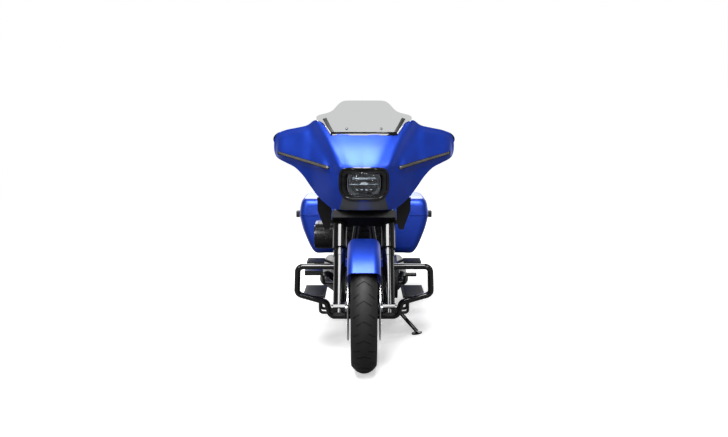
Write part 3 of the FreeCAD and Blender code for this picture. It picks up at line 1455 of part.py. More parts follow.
gearbox = box("Gearbox", (-d.case_half_width, d.case_half_width),
              (gearbox_start - d.case_radius * 0.2, gearbox_start + d.gearbox_length),
              (d.gearbox_bottom_z, d.gearbox_bottom_z + d.gearbox_height))
node("engine_cases", fuse("EngineCases", [case_round, cam_cover, cam_nose, gearbox, front_pulley]
                          + case_decks))


def racetrack(y, z, length, front, rear, x):
    """Two circles and the tangents between them, in a plane across the machine."""
    near, far = Vector(float(x), float(y), float(z)), Vector(float(x), float(y + length), float(z))
    tilt = math.acos((float(front) - float(rear)) / float(length))
    up, down = (Vector(0, math.cos(tilt * sign), math.sin(tilt * sign)) for sign in both_sides)
    return Part.Wire([
        Part.makeLine(near + up * float(front), far + up * float(rear)),
        Part.Arc(far + up * float(rear), far + axis_y * float(rear),
                 far + down * float(rear)).toShape(),
        Part.makeLine(far + down * float(rear), near + down * float(front)),
        Part.Arc(near + down * float(front), near - axis_y * float(front),
                 near + up * float(front)).toShape()])


primary_face = d.case_half_width + d.seam_gap
primary_step = pulley_outer + d.running_gap
primary_inner = cylinder("PrimaryInner", (primary_face, d.crank_y, d.crank_z), (1, 0, 0),
                         d.primary_front_radius, primary_step - primary_face + d.overrun)
primary_length = d.primary_length - d.belt_width
primary_outer = slab("PrimaryOuter", racetrack(
    d.crank_y, d.crank_z, primary_length, d.primary_front_radius, d.primary_rear_radius,
    primary_step), Vector(float(d.primary_depth - (primary_step - primary_face)), 0, 0))
derby = cylinder("Derby", (primary_step, d.crank_y + primary_length, d.crank_z), (1, 0, 0),
                 d.derby_radius, d.primary_depth - (primary_step - primary_face) + d.derby_depth)
node("primary_cover", fuse("PrimaryCover", [primary_inner, primary_outer, derby]))
air_middle_y = d.crank_y - d.air_cleaner_half_length * 0.25
air_half = d.air_cleaner_half_length - d.air_cleaner_half_height
air_box = slab("AirCleanerBox", racetrack(
    air_middle_y - air_half, d.air_cleaner_z, air_half * 2, d.air_cleaner_half_height,
    d.air_cleaner_half_height * 0.999, -(d.air_cleaner_inner_x + d.air_cleaner_depth)),
    Vector(float(d.air_cleaner_depth), 0, 0))
air_neck = cylinder("AirCleanerNeck", (-d.air_cleaner_inner_x, d.crank_y, d.air_cleaner_z), (1, 0, 0),
                    d.air_cleaner_half_height * 0.36, d.air_cleaner_inner_x * 0.9)
node("air_cleaner", cut("AirCleaner", fuse("AirCleanerBody", [air_box, air_neck]),
                        [nodes["cylinder_heads"], nodes["cylinders"], nodes["pushrod_tubes"]]))

# Exhaust: both cylinders' pipes meet on the right and feed a muffler on each side.
pipe_x = -(d.cradle_front_half_width + d.pipe_radius * 2)
collector_y = d.crank_y + d.case_radius * 1.4
muffler_start = (-d.muffler_x, d.muffler_start_y, d.muffler_z)
front_port = port(cylinder_turns[0], -1, 0)
front_corner = port(cylinder_turns[0], -1, d.pipe_bend_radius)
front_pipe = tube("FrontPipe", [
    tuple(front_port),
    tuple(front_corner),
    (pipe_x * 0.95, front_port.y - float(d.pipe_radius), float(d.crank_z + d.pipe_bend_radius)),
    (pipe_x, d.crank_y - d.case_radius * 1.2, d.pipe_z),
    (pipe_x, collector_y, d.pipe_z),
    (-d.muffler_x, d.muffler_start_y - d.pipe_bend_radius, d.muffler_z),
    muffler_start], d.pipe_radius, d.pipe_bend_radius * 0.55)
rear_port = port(cylinder_turns[1], 1, 0)
rear_pipe = tube("RearPipe", [
    tuple(rear_port),
    tuple(port(cylinder_turns[1], 1, d.pipe_bend_radius)),
    (pipe_x * 0.8, collector_y + d.pipe_bend_radius, d.crank_z + d.pipe_bend_radius),
    (pipe_x, collector_y - d.pipe_radius * 2.5, d.pipe_z)], d.pipe_radius * 0.94,
    d.pipe_bend_radius * 0.55)
cross_y = d.pivot_y - d.frame_bend_radius * 0.85
cross_z = d.cradle_z + d.frame_tube_radius + d.pipe_radius * 0.86
cross_pipe = tube("CrossPipe", [
    (pipe_x * 0.98, collector_y + d.pipe_radius * 0.5, d.pipe_z),
    (pipe_x * 0.6, cross_y, cross_z),
    (d.muffler_x * 0.84, cross_y, cross_z),
    (d.muffler_x, d.muffler_start_y - d.pipe_bend_radius * 0.7, d.muffler_z),
    (d.muffler_x, d.muffler_start_y, d.muffler_z)], d.pipe_radius * 0.84, d.pipe_bend_radius * 0.5)
node("exhaust_pipes", fuse("ExhaustPipes", [front_pipe, rear_pipe, cross_pipe]))


def muffler(name, side):
    start = d.seam_gap
    tip = d.muffler_length
    wall, radius = d.muffler_tip_wall, d.muffler_radius
    points = [
        (start, 0), (start, d.pipe_radius * 1.15), (radius, radius), (tip - d.muffler_tip_length, radius),
        (tip - d.muffler_tip_length, radius * 0.93), (tip, radius * 0.93),
        (tip, radius * 0.93 - wall), (tip - d.muffler_tip_length * 2, radius * 0.93 - wall),
        (tip - d.muffler_tip_length * 2, 0)]
    body = turned(name, "XZ_Plane", points, place=(d.muffler_x * side, d.muffler_start_y, d.muffler_z))
    body.Placement.Rotation = FreeCAD.Rotation(axis_z, 90)
    return body


node("mufflers", gather("Mufflers", [muffler("MufflerLeft", 1), muffler("MufflerRight", -1)]))

# Fuel tank, console and seat.
tank_along = (0.0, 0.1, 0.3, 0.55, 0.8, 1.0)
tank_widths = (0.34, 0.68, 0.96, 1.0, 0.86, 0.58)
tank_tops = (0.7, 0.88, 1.0, 0.98, 0.85, 0.66)
tank_floors = (0.3, 0.1, 0.0, 0.0, 0.02, 0.08)
half_ring_shares = ((0.0, 0.0), (0.55, 0.0), (0.88, 0.12), (1.0, 0.38), (0.9, 0.68), (0.6, 0.92),
                    (0.0, 1.0))


def ring_section(half_width, y, floor, top):
    """A closed cross-section, flat below and full above."""
    right = [Vector(float(half_width) * x, float(y), float(floor) + (float(top) - float(floor)) * z)
             for x, z in half_ring_shares]
    left = [Vector(-p.x, p.y, p.z) for p in reversed(right[1:-1])]
    return closed_curve(right + left)


tank_body = loft("TankBody", [
    ring_section(d.tank_half_width * width, d.tank_front_y + d.tank_length * along,
                 d.tank_bottom_z + d.tank_height * floor, d.tank_bottom_z + d.tank_height * top)
    for along, width, top, floor in zip(tank_along, tank_widths, tank_tops, tank_floors)])
tunnel = box("TankTunnel", (-d.tunnel_half_width, d.tunnel_half_width),
             (d.tank_front_y - d.overrun, d.tank_front_y + d.tank_length + d.overrun),
             (d.tank_bottom_z - d.overrun * 2, d.tank_bottom_z + d.tunnel_height))
node("fuel_tank", cut("FuelTank", tank_body, [tunnel]))
console_z = d.tank_bottom_z + d.tank_height
console_body = padded("ConsoleBody", "YZ_Plane", [
    (d.tank_front_y + d.tank_length * 0.22, console_z - d.console_height),
    (d.tank_front_y + d.tank_length * 0.97, console_z - d.tank_height * 0.45),
    (d.tank_front_y + d.tank_length * 0.97, console_z - d.tank_height * 0.3),
    (d.tank_front_y + d.tank_length * 0.8, console_z - d.tank_height * 0.06),
    (d.tank_front_y + d.tank_length * 0.5, console_z + d.console_height * 0.5),
    (d.tank_front_y + d.tank_length * 0.3, console_z + d.console_height * 0.4),
], d.console_half_width * 2)
filler = cylinder("Filler", (0, d.tank_front_y + d.tank_length * 0.4, console_z), (0, 0, 1),
                  d.filler_radius, d.console_height * 0.5 + d.filler_height)
node("tank_console", cut("TankConsole", fuse("ConsoleSolid", [console_body, filler]), [tank_body]))
seat_along = (0.0, 0.07, 0.16, 0.26, 0.42, 0.54, 0.62, 0.79, 0.94, 1.0)
seat_widths = (0.44, 0.66, 0.9, 1.0, 0.9, 0.86, 0.82, 0.8, 0.7, 0.5)
seat_tops = (0.9, 0.77, 0.56, 0.42, 0.44, 0.72, 0.95, 1.0, 0.95, 0.8)
seat_floors = (0.72, 0.65, 0.36, 0.02, 0.0, 0.06, 0.16, 0.32, 0.42, 0.48)
node("seat", loft("Seat", [
    ring_section(d.seat_half_width * width, d.seat_front_y + d.seat_length * along,
                 d.seat_base_z + d.seat_height * floor, d.seat_base_z + d.seat_height * top)
    for along, width, top, floor in zip(seat_along, seat_widths, seat_tops, seat_floors)]))
battery_y = (rear_port.y + d.cam_cover_radius, d.pivot_y - d.frame_tube_radius - d.seam_gap)
cover_z = d.gearbox_bottom_z + d.gearbox_height
battery_x = d.case_half_width * 1.1
battery = box("BatteryBox", (-battery_x, battery_x), battery_y,
              (cover_z + d.seam_gap, d.rail_z - d.main_tube_radius * 1.5))
side_panels = [
    box("SidePanel" + str(i), x, battery_y,
        (cover_z + d.pipe_radius, d.rail_z + d.frame_tube_radius * 1.5))
    for i, x in enumerate((
        (battery_x * 0.9, d.cradle_half_width * 0.9),
        (-(d.cradle_half_width * 0.9), -(battery_x * 0.9))))]
node("side_covers", cut("SideCovers", fuse("SideCoverBody", [battery] + side_panels),
                        [nodes["frame"]]))

# Lamps and the plate carrier on the rear mudguard.
def on_rear_guard(name, angle, rise, half_x, half_run, depth, x=0):
    """A block on the rear mudguard's back, at an angle behind the top."""
    turn = FreeCAD.Rotation(axis_x, -float(angle))
    corner = turn.multVec(Vector(-float(half_x), -float(half_run), float(rear_fender_reach + rise)))
    place = tuple(Vector(float(x), float(rear_axle_y), float(rear_axle_z)) + corner)
    return primitive("Box", name, place, turn, Length=half_x * 2, Width=half_run * 2, Height=depth)


node("tail_lamp", fuse("TailLamp", [on_rear_guard(
    "TailLampBlock", d.tail_lamp_angle, d.seam_gap, d.tail_lamp_half_width,
    d.tail_lamp_height * 0.5, d.tail_lamp_depth)]))
indicator_turn = FreeCAD.Rotation(axis_x, -float(d.indicator_angle))
indicator_spot = indicator_turn.multVec(Vector(0, 0, float(rear_fender_reach) * 0.85))
indicator_y = rear_axle_y + indicator_spot.y
indicator_z = rear_axle_z + indicator_spot.z
indicator = fuse("IndicatorLeft", [
    cylinder("IndicatorLens", (d.indicator_x, indicator_y, indicator_z), (0, 1, 0),
             d.indicator_radius, d.indicator_depth),
    cylinder("IndicatorStalk", (d.rear_fender_half_width + d.seam_gap,
                                indicator_y + d.indicator_depth * 0.4, indicator_z), (1, 0, 0),
             d.indicator_radius * 0.35, d.indicator_x - d.rear_fender_half_width - d.seam_gap)])
node("indicators", gather("Indicators", [indicator, mirrored("IndicatorRight", indicator)]))
carrier = on_rear_guard("PlateCarrier", d.plate_angle, d.indicator_radius * 0.5,
                        d.plate_width * 0.5, d.plate_height * 0.5, d.plate_wall)
carrier_foot = on_rear_guard("PlateFoot", d.plate_angle, d.seam_gap, d.tail_lamp_half_width * 0.6,
                             d.plate_height * 0.3, d.indicator_radius * 0.5)
plate_turn = FreeCAD.Rotation(axis_x, -float(d.plate_angle))
hole_rise = float(rear_fender_reach + d.seam_gap)
plate_holes = []
for side in both_sides:
    spot = plate_turn.multVec(Vector(float(d.plate_hole_spacing) * 0.5 * side,
                                     -float(d.plate_height) * 0.34, hole_rise))
    place = tuple(Vector(*rear_axle) + spot)
    plate_holes.append(cylinder("PlateHole" + str(len(plate_holes)), place,
                                tuple(plate_turn.multVec(axis_z)), d.plate_hole_radius,
                                d.indicator_radius))
node("plate_carrier", cut("PlateCarrierBored", fuse("PlateCarrierBody", [carrier, carrier_foot]),
                          plate_holes))

# Engine guard, boards and pedals.
guard_top_y = d.guard_y - d.frame_bend_radius
guard_half = [
    (d.guard_half_width * 0.98, guard_top_y, d.guard_top_z),
    (d.guard_half_width, d.guard_y - d.frame_bend_radius * 0.4, d.crank_z - d.frame_tube_radius),
    (d.guard_half_width * 0.56, d.guard_y - d.frame_bend_radius * 0.2, d.crank_z - d.frame_tube_radius * 4),
    (d.guard_half_width * 0.5, d.guard_y, d.guard_bottom_z)]
guard_tube = tube("GuardTube", [(0, guard_top_y, d.guard_top_z)] + guard_half
                  + [(0, d.guard_y, d.guard_bottom_z)], d.guard_tube_radius, d.guard_bend_radius * 0.6)
node("engine_guard", cut("EngineGuard", fuse("GuardLoops", [
    guard_tube, mirrored("GuardTubeRight", guard_tube)]), [nodes["frame"]]))
board_back_y = d.board_front_y + d.board_length


def board(name, side):
    x = (d.board_inner_x, d.board_inner_x + d.board_width)
    z = (d.board_z - d.board_wall, d.board_z)
    parts = [box(name + "Plate", x, (d.board_front_y, board_back_y), z)]
    for i, y in enumerate((d.board_front_y + d.board_wall * 2, d.stand_pivot_y - d.stand_advance)):
        parts.append(tube(name + "Arm" + str(i), [
            (d.cradle_front_half_width, y, d.cradle_z),
            (d.board_inner_x + d.board_wall * 2, y, d.cradle_z + d.pedal_rod_radius),
            (d.board_inner_x + d.board_wall * 2, y, d.board_z - d.board_wall * 0.5)],
            d.pedal_rod_radius, d.pedal_rod_radius * 2))
    rear_z = (d.rear_board_z - d.board_wall, d.rear_board_z)
    parts.append(box(name + "Rear", (d.rear_board_inner_x, d.rear_board_inner_x + d.rear_board_width),
                     (d.rear_board_front_y, d.rear_board_front_y + d.rear_board_length), rear_z))
    parts.append(rod(name + "RearArm", (d.cradle_half_width, d.pivot_y, d.rear_board_z - d.board_wall * 3),
                     (d.rear_board_inner_x + d.board_wall,
                      d.rear_board_front_y + d.rear_board_length - d.board_wall,
                      d.rear_board_z - d.board_wall * 0.5), d.pedal_rod_radius))
    whole = gather(name + "Set", [fuse(name + "Main", parts[:3]), fuse(name + "Back", parts[3:])])
    return whole if side > 0 else mirrored(name + "Flip", whole)


boards = [board("BoardLeft", 1), board("BoardRight", -1)]
node("footboards", cut("Footboards", gather("BoardPair", boards), [nodes["frame"]]))
lever_y, lever_z = d.crank_y - d.cam_cover_radius * 0.87, d.crank_z
shift_x = d.shift_peg_x - d.shift_peg_radius
shift = fuse("ShiftBody", [
    cylinder("ShiftShaft", (d.case_half_width + d.primary_depth + d.seam_gap * 2, lever_y, lever_z),
             (1, 0, 0), d.pedal_rod_radius, shift_x - d.case_half_width - d.primary_depth),
    rod("ShiftRod", (shift_x, lever_y, lever_z), (shift_x, d.pedal_y, d.shift_peg_z), d.pedal_rod_radius),
    cylinder("ShiftPeg", (shift_x, d.pedal_y, d.shift_peg_z), (1, 0, 0), d.shift_peg_radius,
             d.shift_peg_length)])
node("shift_lever", fuse("ShiftLever", [shift]))
brake_start = d.case_half_width + d.cam_cover_depth + d.seam_gap * 2
brake_pad_z = d.shift_peg_z
brake = fuse("BrakeBody", [
    cylinder("BrakeShaft", (-brake_start, lever_y, lever_z), (-1, 0, 0), d.pedal_rod_radius,
             shift_x - brake_start),
    rod("BrakeRod", (-shift_x, lever_y, lever_z), (-shift_x, d.pedal_y, brake_pad_z), d.pedal_rod_radius),
    box("BrakePad", (-(shift_x + d.brake_pad_width), -shift_x),
        (d.pedal_y - d.brake_pad_length * 0.5, d.pedal_y + d.brake_pad_length * 0.5),
        (brake_pad_z, brake_pad_z + d.brake_pad_wall))])
node("brake_pedal", cut("BrakePedal", brake, [nodes["exhaust_pipes"]]))

# Side stand, drawn out and on the ground.
ground_slope = sine(d.lean_angle) / cosine(d.lean_angle)
stand_pivot = (d.stand_pivot_x, d.stand_pivot_y, d.stand_pivot_z)
foot_x = d.stand_pivot_x + d.stand_reach
foot_y = d.stand_pivot_y - d.stand_advance
ground_normal = (-float(sine(d.lean_angle)), 0, float(cosine(d.lean_angle)))
foot_base = (foot_x, foot_y, foot_x * ground_slope)
stand_folded_shares = (0.2, 0.975, -0.1)
stand_out = Vector(*[float(b) - float(a) for a, b in zip(stand_pivot, foot_base)])
stand_axis = stand_out.cross(Vector(*stand_folded_shares)).normalize()
stand_foot = cylinder("StandFoot", foot_base, ground_normal, d.stand_foot_radius, d.stand_foot_height)
stand_leg = rod("StandLeg", stand_pivot,
                (foot_x, foot_y, foot_x * ground_slope + d.stand_foot_height * 1.5), d.stand_radius)
stand_eye = cylinder(
    "StandEye", tuple(Vector(*stand_pivot) - stand_axis * float(d.stand_radius) * 1.3),
    tuple(stand_axis), d.stand_radius * 1.5, d.stand_radius * 2.6)
node("side_stand", fuse("SideStand", [stand_foot, stand_leg, stand_eye]))

# Saddlebags: hollow boxes with hinged lids. Each station along a bag has its place, its width,
# the rise of its floor and the fall of its top.
bag_shares = ((0.0, 0.0), (0.55, 0.0), (0.73, 0.25), (0.9, 0.6), (1.0, 1.0), (0.0, 1.0))
lid_shares = ((0.0, 0.0), (1.0, 0.0), (0.965, 0.66), (0.88, 1.0), (0.0, 1.0))
station_shares = (
    (0.0, 0.84, 0.16, 0.34), (0.012, 0.93, 0.07, 0.15), (0.05, 1.0, 0.0, 0.0), (0.62, 1.0, 0.0, 0.0),
    (0.86, 0.98, 0.11, 0.06), (0.965, 0.93, 0.24, 0.18), (0.992, 0.86, 0.31, 0.33), (1.0, 0.78, 0.38, 0.5))
seam_z = d.bag_bottom_z + d.bag_height
lid_low = seam_z + d.panel_gap
lid_top = lid_low + d.lid_height


def bag_wire(shares, y, width, low, high):
    """A flat closed wire across a bag."""
    return rounded_outline([
        Vector(float(d.bag_inner_x) + float(d.bag_width) * width * x, y, low + (high - low) * z)
        for x, z in shares], d.bag_wall * 3)


def shell(name, shares, bottom, height, open_top):
    """A walled box along Y with narrowed ends, open above or below."""
    wall, open_reach = float(d.bag_wall), float(d.bag_wall) * 6
    front, back = float(d.bag_front_y), float(d.bag_front_y + d.bag_length)
    outer_wires, room_wires = [], []
    for along, width, rise, fall in station_shares:
        y = front + (back - front) * along
        low = float(bottom) + (float(height) * rise if open_top else 0)
        high = float(bottom + height) - (0 if open_top else float(height) * fall)
        outer_wires.append(bag_wire(shares, y, width, low, high))
        room = bag_wire(shares, min(max(y, front + wall), back - wall), width,
                        low - (0 if open_top else open_reach), high + (open_reach if open_top else 0))
        room_wires.append(room.makeOffset2D(-wall))
    return cut(name, loft(name + "Outer", outer_wires, True), [loft(name + "Room", room_wires, True)])


hinge_x = d.bag_inner_x - d.hinge_radius - d.seam_gap
hinge_z = lid_top - d.hinge_radius * 1.5
hinge_y = d.bag_front_y + (d.bag_length - d.hinge_length) * 0.5
bag_shell = shell("BagShell", bag_shares, d.bag_bottom_z, d.bag_height, True)
hinge_posts = [
    box("HingePost" + str(i), (hinge_x - d.hinge_radius * 0.5, d.bag_inner_x + d.bag_wall * 0.5),
        (y, y + d.latch_length * 0.5),
        (seam_z - d.lid_height * 0.5, seam_z - d.overrun))
    for i, y in enumerate((hinge_y, hinge_y + d.hinge_length - d.latch_length * 0.5))]
hinge_uprights = [
    box("HingeUpright" + str(i), (hinge_x - d.hinge_radius * 0.5, hinge_x + d.hinge_radius * 0.5),
        (y, y + d.latch_length * 0.5), (seam_z - d.lid_height * 0.25, hinge_z))
    for i, y in enumerate((hinge_y, hinge_y + d.hinge_length - d.latch_length * 0.5))]
hinge_barrel = cylinder("HingeBarrel", (hinge_x, hinge_y, hinge_z), (0, 1, 0), d.hinge_radius,
                        d.hinge_length)
bag = fuse("BagLeft", [bag_shell, hinge_barrel] + hinge_posts + hinge_uprights)
node("saddlebag_left", fuse("SaddlebagLeft", [bag]))
node("saddlebag_right", fuse("SaddlebagRight", [mirrored("BagRight", bag)]))
latch_x = d.bag_inner_x + d.bag_width
latch_y = (d.bag_front_y + d.latch_length * 1.4, d.bag_front_y + d.latch_length * 2.4)
latch_plate = box("LatchPlate", (latch_x + d.panel_gap, latch_x + d.latch_depth), latch_y,
                  (lid_low - d.latch_height * 0.8, lid_low + d.latch_height * 0.5))
latch_root = box("LatchRoot", (latch_x - d.bag_wall * 0.8, latch_x + d.latch_depth), latch_y,
                 (lid_low, lid_low + d.latch_height * 0.5))
lid = fuse("LidLeftBody", [shell("LidShell", lid_shares, lid_low, d.lid_height, False),
                           latch_plate, latch_root])
node("lid_left", fuse("LidLeft", [lid]))
node("lid_right", fuse("LidRight", [mirrored("LidRightBody", lid)]))
rail_face = rail_half_width + d.frame_tube_radius * 0.5
support_z = (d.rail_z - d.frame_tube_radius * 0.5, d.rail_z + d.frame_tube_radius * 0.5)
support_parts = [
    box("BagArm" + str(i), (rail_face, d.bag_inner_x - d.seam_gap), (y, y + d.latch_height), support_z)
    for i, y in enumerate((d.bag_front_y + d.latch_length, d.bag_front_y + d.bag_length * 0.62))]
hanger_x = (d.bag_inner_x - d.hinge_radius * 2, d.bag_inner_x - d.seam_gap)
hanger = box("MufflerHanger", hanger_x,
             (d.bag_front_y + d.latch_length, d.bag_front_y + d.latch_length + d.latch_height),
             (d.muffler_z - d.hinge_radius, support_z[1]))
hanger_foot = box("HangerFoot", (hanger_x[0], d.muffler_x - d.muffler_radius + d.seam_gap),
                  (d.bag_front_y + d.latch_length, d.bag_front_y + d.latch_length + d.latch_height),
                  (d.muffler_z - d.hinge_radius, d.muffler_z + d.hinge_radius))
support = gather("BagSupportLeft", [fuse("BagSupportFront", [support_parts[0], hanger, hanger_foot]),
                                    support_parts[1]])
node("bag_supports", cut("BagSupports", gather("BagSupportPair", [
    support, mirrored("BagSupportRight", support)]), [nodes["frame"], nodes["mufflers"]]))

# Lean the machine onto its stand and set it over the origin.
doc.recompute()
lean = FreeCAD.Placement(Vector(), FreeCAD.Rotation(axis_y, float(d.lean_angle)))
low, high = [math.inf] * 3, [-math.inf] * 3
for obj in nodes.values():
    leaned = obj.Shape.copy()
    leaned.transformShape(lean.toMatrix())
    limits = leaned.optimalBoundingBox(False)
    for i, (a, b) in enumerate(((limits.XMin, limits.XMax), (limits.YMin, limits.YMax),
                                (limits.ZMin, limits.ZMax))):
        low[i], high[i] = min(low[i], a), max(high[i], b)
shift = Vector(-(low[0] + high[0]) / 2, -(low[1] + high[1]) / 2, -low[2])
stance = FreeCAD.Placement(shift, lean.Rotation)
for name, obj in nodes.items():
    placed = doc.addObject("Part::Compound", name + "_placed")
    placed.Links = [obj]
    placed.Placement = stance
    placed.Label = name
    nodes[name] = placed
doc.recompute()

failed = [obj.Name for obj in doc.Objects if "Invalid" in obj.State or "Error" in obj.State]
if failed:
    raise RuntimeError("not built: " + ", ".join(failed))
os.makedirs("parts", exist_ok=True)
for name, obj in nodes.items():
    if obj.Shape.isNull() or not obj.Shape.isValid() or not obj.Shape.Solids:
        raise RuntimeError("bad shape: " + name)
    obj.Shape.exportStep("parts/" + name + ".step")
print(len(nodes), "nodes, size", [round(b - a, 1) for a, b in zip(low, high)], "shift", shift)
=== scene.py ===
# Touring cruiser motorcycle: finishes, modelled details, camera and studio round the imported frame
import json
import math
from functools import cache
import bpy
from mathutils import Matrix, Vector


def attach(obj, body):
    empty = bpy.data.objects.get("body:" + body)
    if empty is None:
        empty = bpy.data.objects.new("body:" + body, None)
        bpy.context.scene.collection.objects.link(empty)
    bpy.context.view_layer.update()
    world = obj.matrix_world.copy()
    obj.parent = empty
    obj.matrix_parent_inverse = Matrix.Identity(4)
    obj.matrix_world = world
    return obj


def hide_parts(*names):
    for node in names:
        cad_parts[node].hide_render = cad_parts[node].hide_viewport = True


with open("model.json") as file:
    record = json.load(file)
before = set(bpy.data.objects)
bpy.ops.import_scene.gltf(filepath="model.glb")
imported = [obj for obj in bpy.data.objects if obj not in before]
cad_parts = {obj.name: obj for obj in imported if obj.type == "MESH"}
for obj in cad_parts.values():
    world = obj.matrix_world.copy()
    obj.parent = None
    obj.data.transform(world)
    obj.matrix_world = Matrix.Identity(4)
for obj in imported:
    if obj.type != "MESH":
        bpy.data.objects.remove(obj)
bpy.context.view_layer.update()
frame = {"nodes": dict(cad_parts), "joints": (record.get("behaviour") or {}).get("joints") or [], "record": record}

nodes = frame["nodes"]
joints = {joint["name"]: joint for joint in frame["joints"]}
mm = 0.001
axles = dict(front=(-812.5, 320.3), rear=(812.5, 328.8))  # y and z in mm on the upright machine
bpy.ops.object.select_all(action="DESELECT")

# the lean: the machine is described upright, then leaned as it is parked
wheelAxis = Vector(joints["front_wheel_spin"]["axis"])
wheelCentre = Vector(joints["front_wheel_spin"]["pos_m"])
leanTurn = Matrix.Rotation(math.atan2(-wheelAxis.z, wheelAxis.x), 4, "Y")
uprightAxle = Vector((0, axles["front"][0] * mm, axles["front"][1] * mm))
leaned = Matrix.Translation(wheelCentre - leanTurn @ uprightAxle) @ leanTurn

# finishes: a fine grain for each, and slow patches that keep a surface from looking all one
grains = dict(detail=3, patch=60, patchDetail=5, patchEdges=(0.3, 0.7))
finish = {}


def hexToLinear(code):
    channels = [int(code[i:i + 2], 16) / 255 for i in (1, 3, 5)]
    return [c / 12.92 if c <= 0.04045 else ((c + 0.055) / 1.055) ** 2.4 for c in channels] + [1]


def addNode(material, kind, settings=None, links=None):
    made = material.node_tree.nodes.new("ShaderNode" + kind)
    for key, value in (settings or {}).items():
        if hasattr(made, str(key)):
            setattr(made, key, value)
        else:
            made.inputs[key].default_value = value
    for socket, source in (links or {}).items():
        material.node_tree.links.new(source, made.inputs[socket])
    return made


def ranged(material, source, start, end):  # start and end are (from, to) pairs
    ends = {"From Min": start[0], "From Max": start[1], "To Min": end[0], "To Max": end[1]}
    return addNode(material, "MapRange", ends, dict(Value=source)).outputs[0]


def startMaterial(name, colour, sockets):
    material = bpy.data.materials.new(name)
    material.use_nodes = True
    shader = material.node_tree.nodes["Principled BSDF"]
    shader.inputs["Base Color"].default_value = hexToLinear(colour)
    for socket, value in sockets.items():
        shader.inputs[socket].default_value = value
    place = addNode(material, "TexCoord")
    return material, shader, place.outputs["Object"]


# grain and depth are in mm; spread is a pair of shades and roughs a pair of roughnesses
def patterned(slot, name, colour, rough, grain, depth, metal=0, coat=0, more=None, spread=None, roughs=None,
              stretch=(1, 1, 1)):
    sockets = {"Roughness": rough, "Metallic": metal, "Coat Weight": coat, **(more or {})}
    material, shader, place = startMaterial(name, colour, sockets)
    link = material.node_tree.links.new
    stretched = addNode(material, "Mapping", dict(Scale=stretch), dict(Vector=place))
    fine = dict(Scale=1 / (grain * mm), Detail=grains["detail"])
    noise = addNode(material, "TexNoise", fine, dict(Vector=stretched.outputs[0]))
    relief = addNode(material, "Bump", dict(Distance=depth * mm), dict(Height=noise.outputs["Fac"]))
    link(relief.outputs[0], shader.inputs["Normal"])
    coarse = dict(Scale=1 / (grains["patch"] * mm), Detail=grains["patchDetail"])
    patches = addNode(material, "TexNoise", coarse, dict(Vector=place)).outputs["Fac"]
    if spread:
        shades = addNode(material, "ValToRGB", links=dict(Fac=patches))
        for element, edge, code in zip(shades.color_ramp.elements, grains["patchEdges"], spread):
            element.position = edge
            element.color = hexToLinear(code)
        link(shades.outputs[0], shader.inputs["Base Color"])
    if roughs:
        link(ranged(material, patches, grains["patchEdges"], roughs), shader.inputs["Roughness"])
    finish[slot] = material


patterned("paint_blue",  # satin over fine flake: bright where it faces the light
          "blue metallic lacquer", "#1443C4", 0.44, 1.2, 0.01, metal=0.85, coat=0.6,
          more={"Coat Roughness": 0.32},
          spread=("#1340BE", "#1546CA"))
patterned("paint_black",  # deep black with sharp reflections
          "black gloss enamel", "#060607", 0.12, 4, 0.01, coat=0.5, more={"Coat Roughness": 0.04},
          roughs=(0.1, 0.15))
patterned("satin_black",  # soft highlights that vary from place to place
          "satin black enamel", "#0F0F10", 0.3, 1.5, 0.03, roughs=(0.26, 0.35))
patterned("frame_black",  # gloss with a faint orange peel
          "black powder coat", "#0A0A0B", 0.16, 2, 0.03, coat=0.4, roughs=(0.13, 0.2))
patterned("matt_black",  # swallows the light and stays in its own shade
          "bead-blasted black anodising", "#080809", 0.55, 1, 0.03, more={"Specular IOR Level": 0.15})
patterned("engine_black",  # a wrinkled skin that breaks up the highlights
          "wrinkle black enamel", "#17171A", 0.46, 1.6, 0.25, spread=("#141416", "#1C1C1F"))
patterned("machined",  # silver with fine marks drawn out by the cutter
          "machined aluminium", "#C9CBCE", 0.26, 1, 0.02, metal=1, stretch=(1, 1, 6))
patterned("cast_wheel",  # a gently uneven casting under gloss
          "gloss black cast aluminium", "#111113", 0.22, 2, 0.04, coat=0.5)
patterned("tyre_rubber",  # dusty dark grey with a patchy, dull shine
          "vulcanised tyre rubber", "#101011", 0.66, 1, 0.06, spread=("#0F0F10", "#151516"),
          roughs=(0.55, 0.7))
patterned("disc_steel",  # light steel with a fine ground grain
          "ground stainless steel", "#BFC1C3", 0.24, 0.8, 0.02, metal=1)
patterned("chrome",  # nearly a mirror, with slight ripples
          "chromed steel", "#D8DADC", 0.07, 6, 0.01, metal=1)
patterned("black_plastic",  # a leathery grain with an uneven, dull shine
          "grained black ABS", "#161617", 0.5, 1, 0.12, roughs=(0.45, 0.56))
patterned("gloss_plastic",  # smooth black that mirrors the lamps
          "gloss black ABS", "#09090A", 0.1, 8, 0.01, coat=0.3)
patterned("lamp_glass",  # clear, with very faint ripples
          "clear polycarbonate", "#DDE0E4", 0.02, 8, 0.005, more={"Transmission Weight": 1, "IOR": 1.15})
patterned("screen_smoke",  # a grey tint that lets the backdrop through
          "smoked polycarbonate", "#CBCCCC", 0.02, 20, 0.005, more={"Transmission Weight": 1, "IOR": 1.05})
patterned("red_lens",  # deep red under gloss
          "red acrylic", "#9C1010", 0.08, 3, 0.02, coat=0.6)
patterned("amber_lens",  # warm orange under gloss
          "amber acrylic", "#D9781A", 0.08, 3, 0.02, coat=0.6)
patterned("seat_cover",  # a pebbled grain with a trace of sheen
          "grained black vinyl", "#151416", 0.5, 1.6, 0.2, more={"Sheen Weight": 0.05})
patterned("rubber",  # dull and finely pitted
          "moulded rubber", "#151515", 0.6, 1.4, 0.1)
patterned("lamp_halo",  # an unlit ring, grey and slightly milky
          "frosted polycarbonate light guide", "#34363A", 0.35, 2, 0.02, coat=0.4)
patterned("lamp_cell",  # silver that glints inside the lamp
          "metallised reflector cup", "#9EA2A8", 0.2, 2, 0.02, metal=0.9)
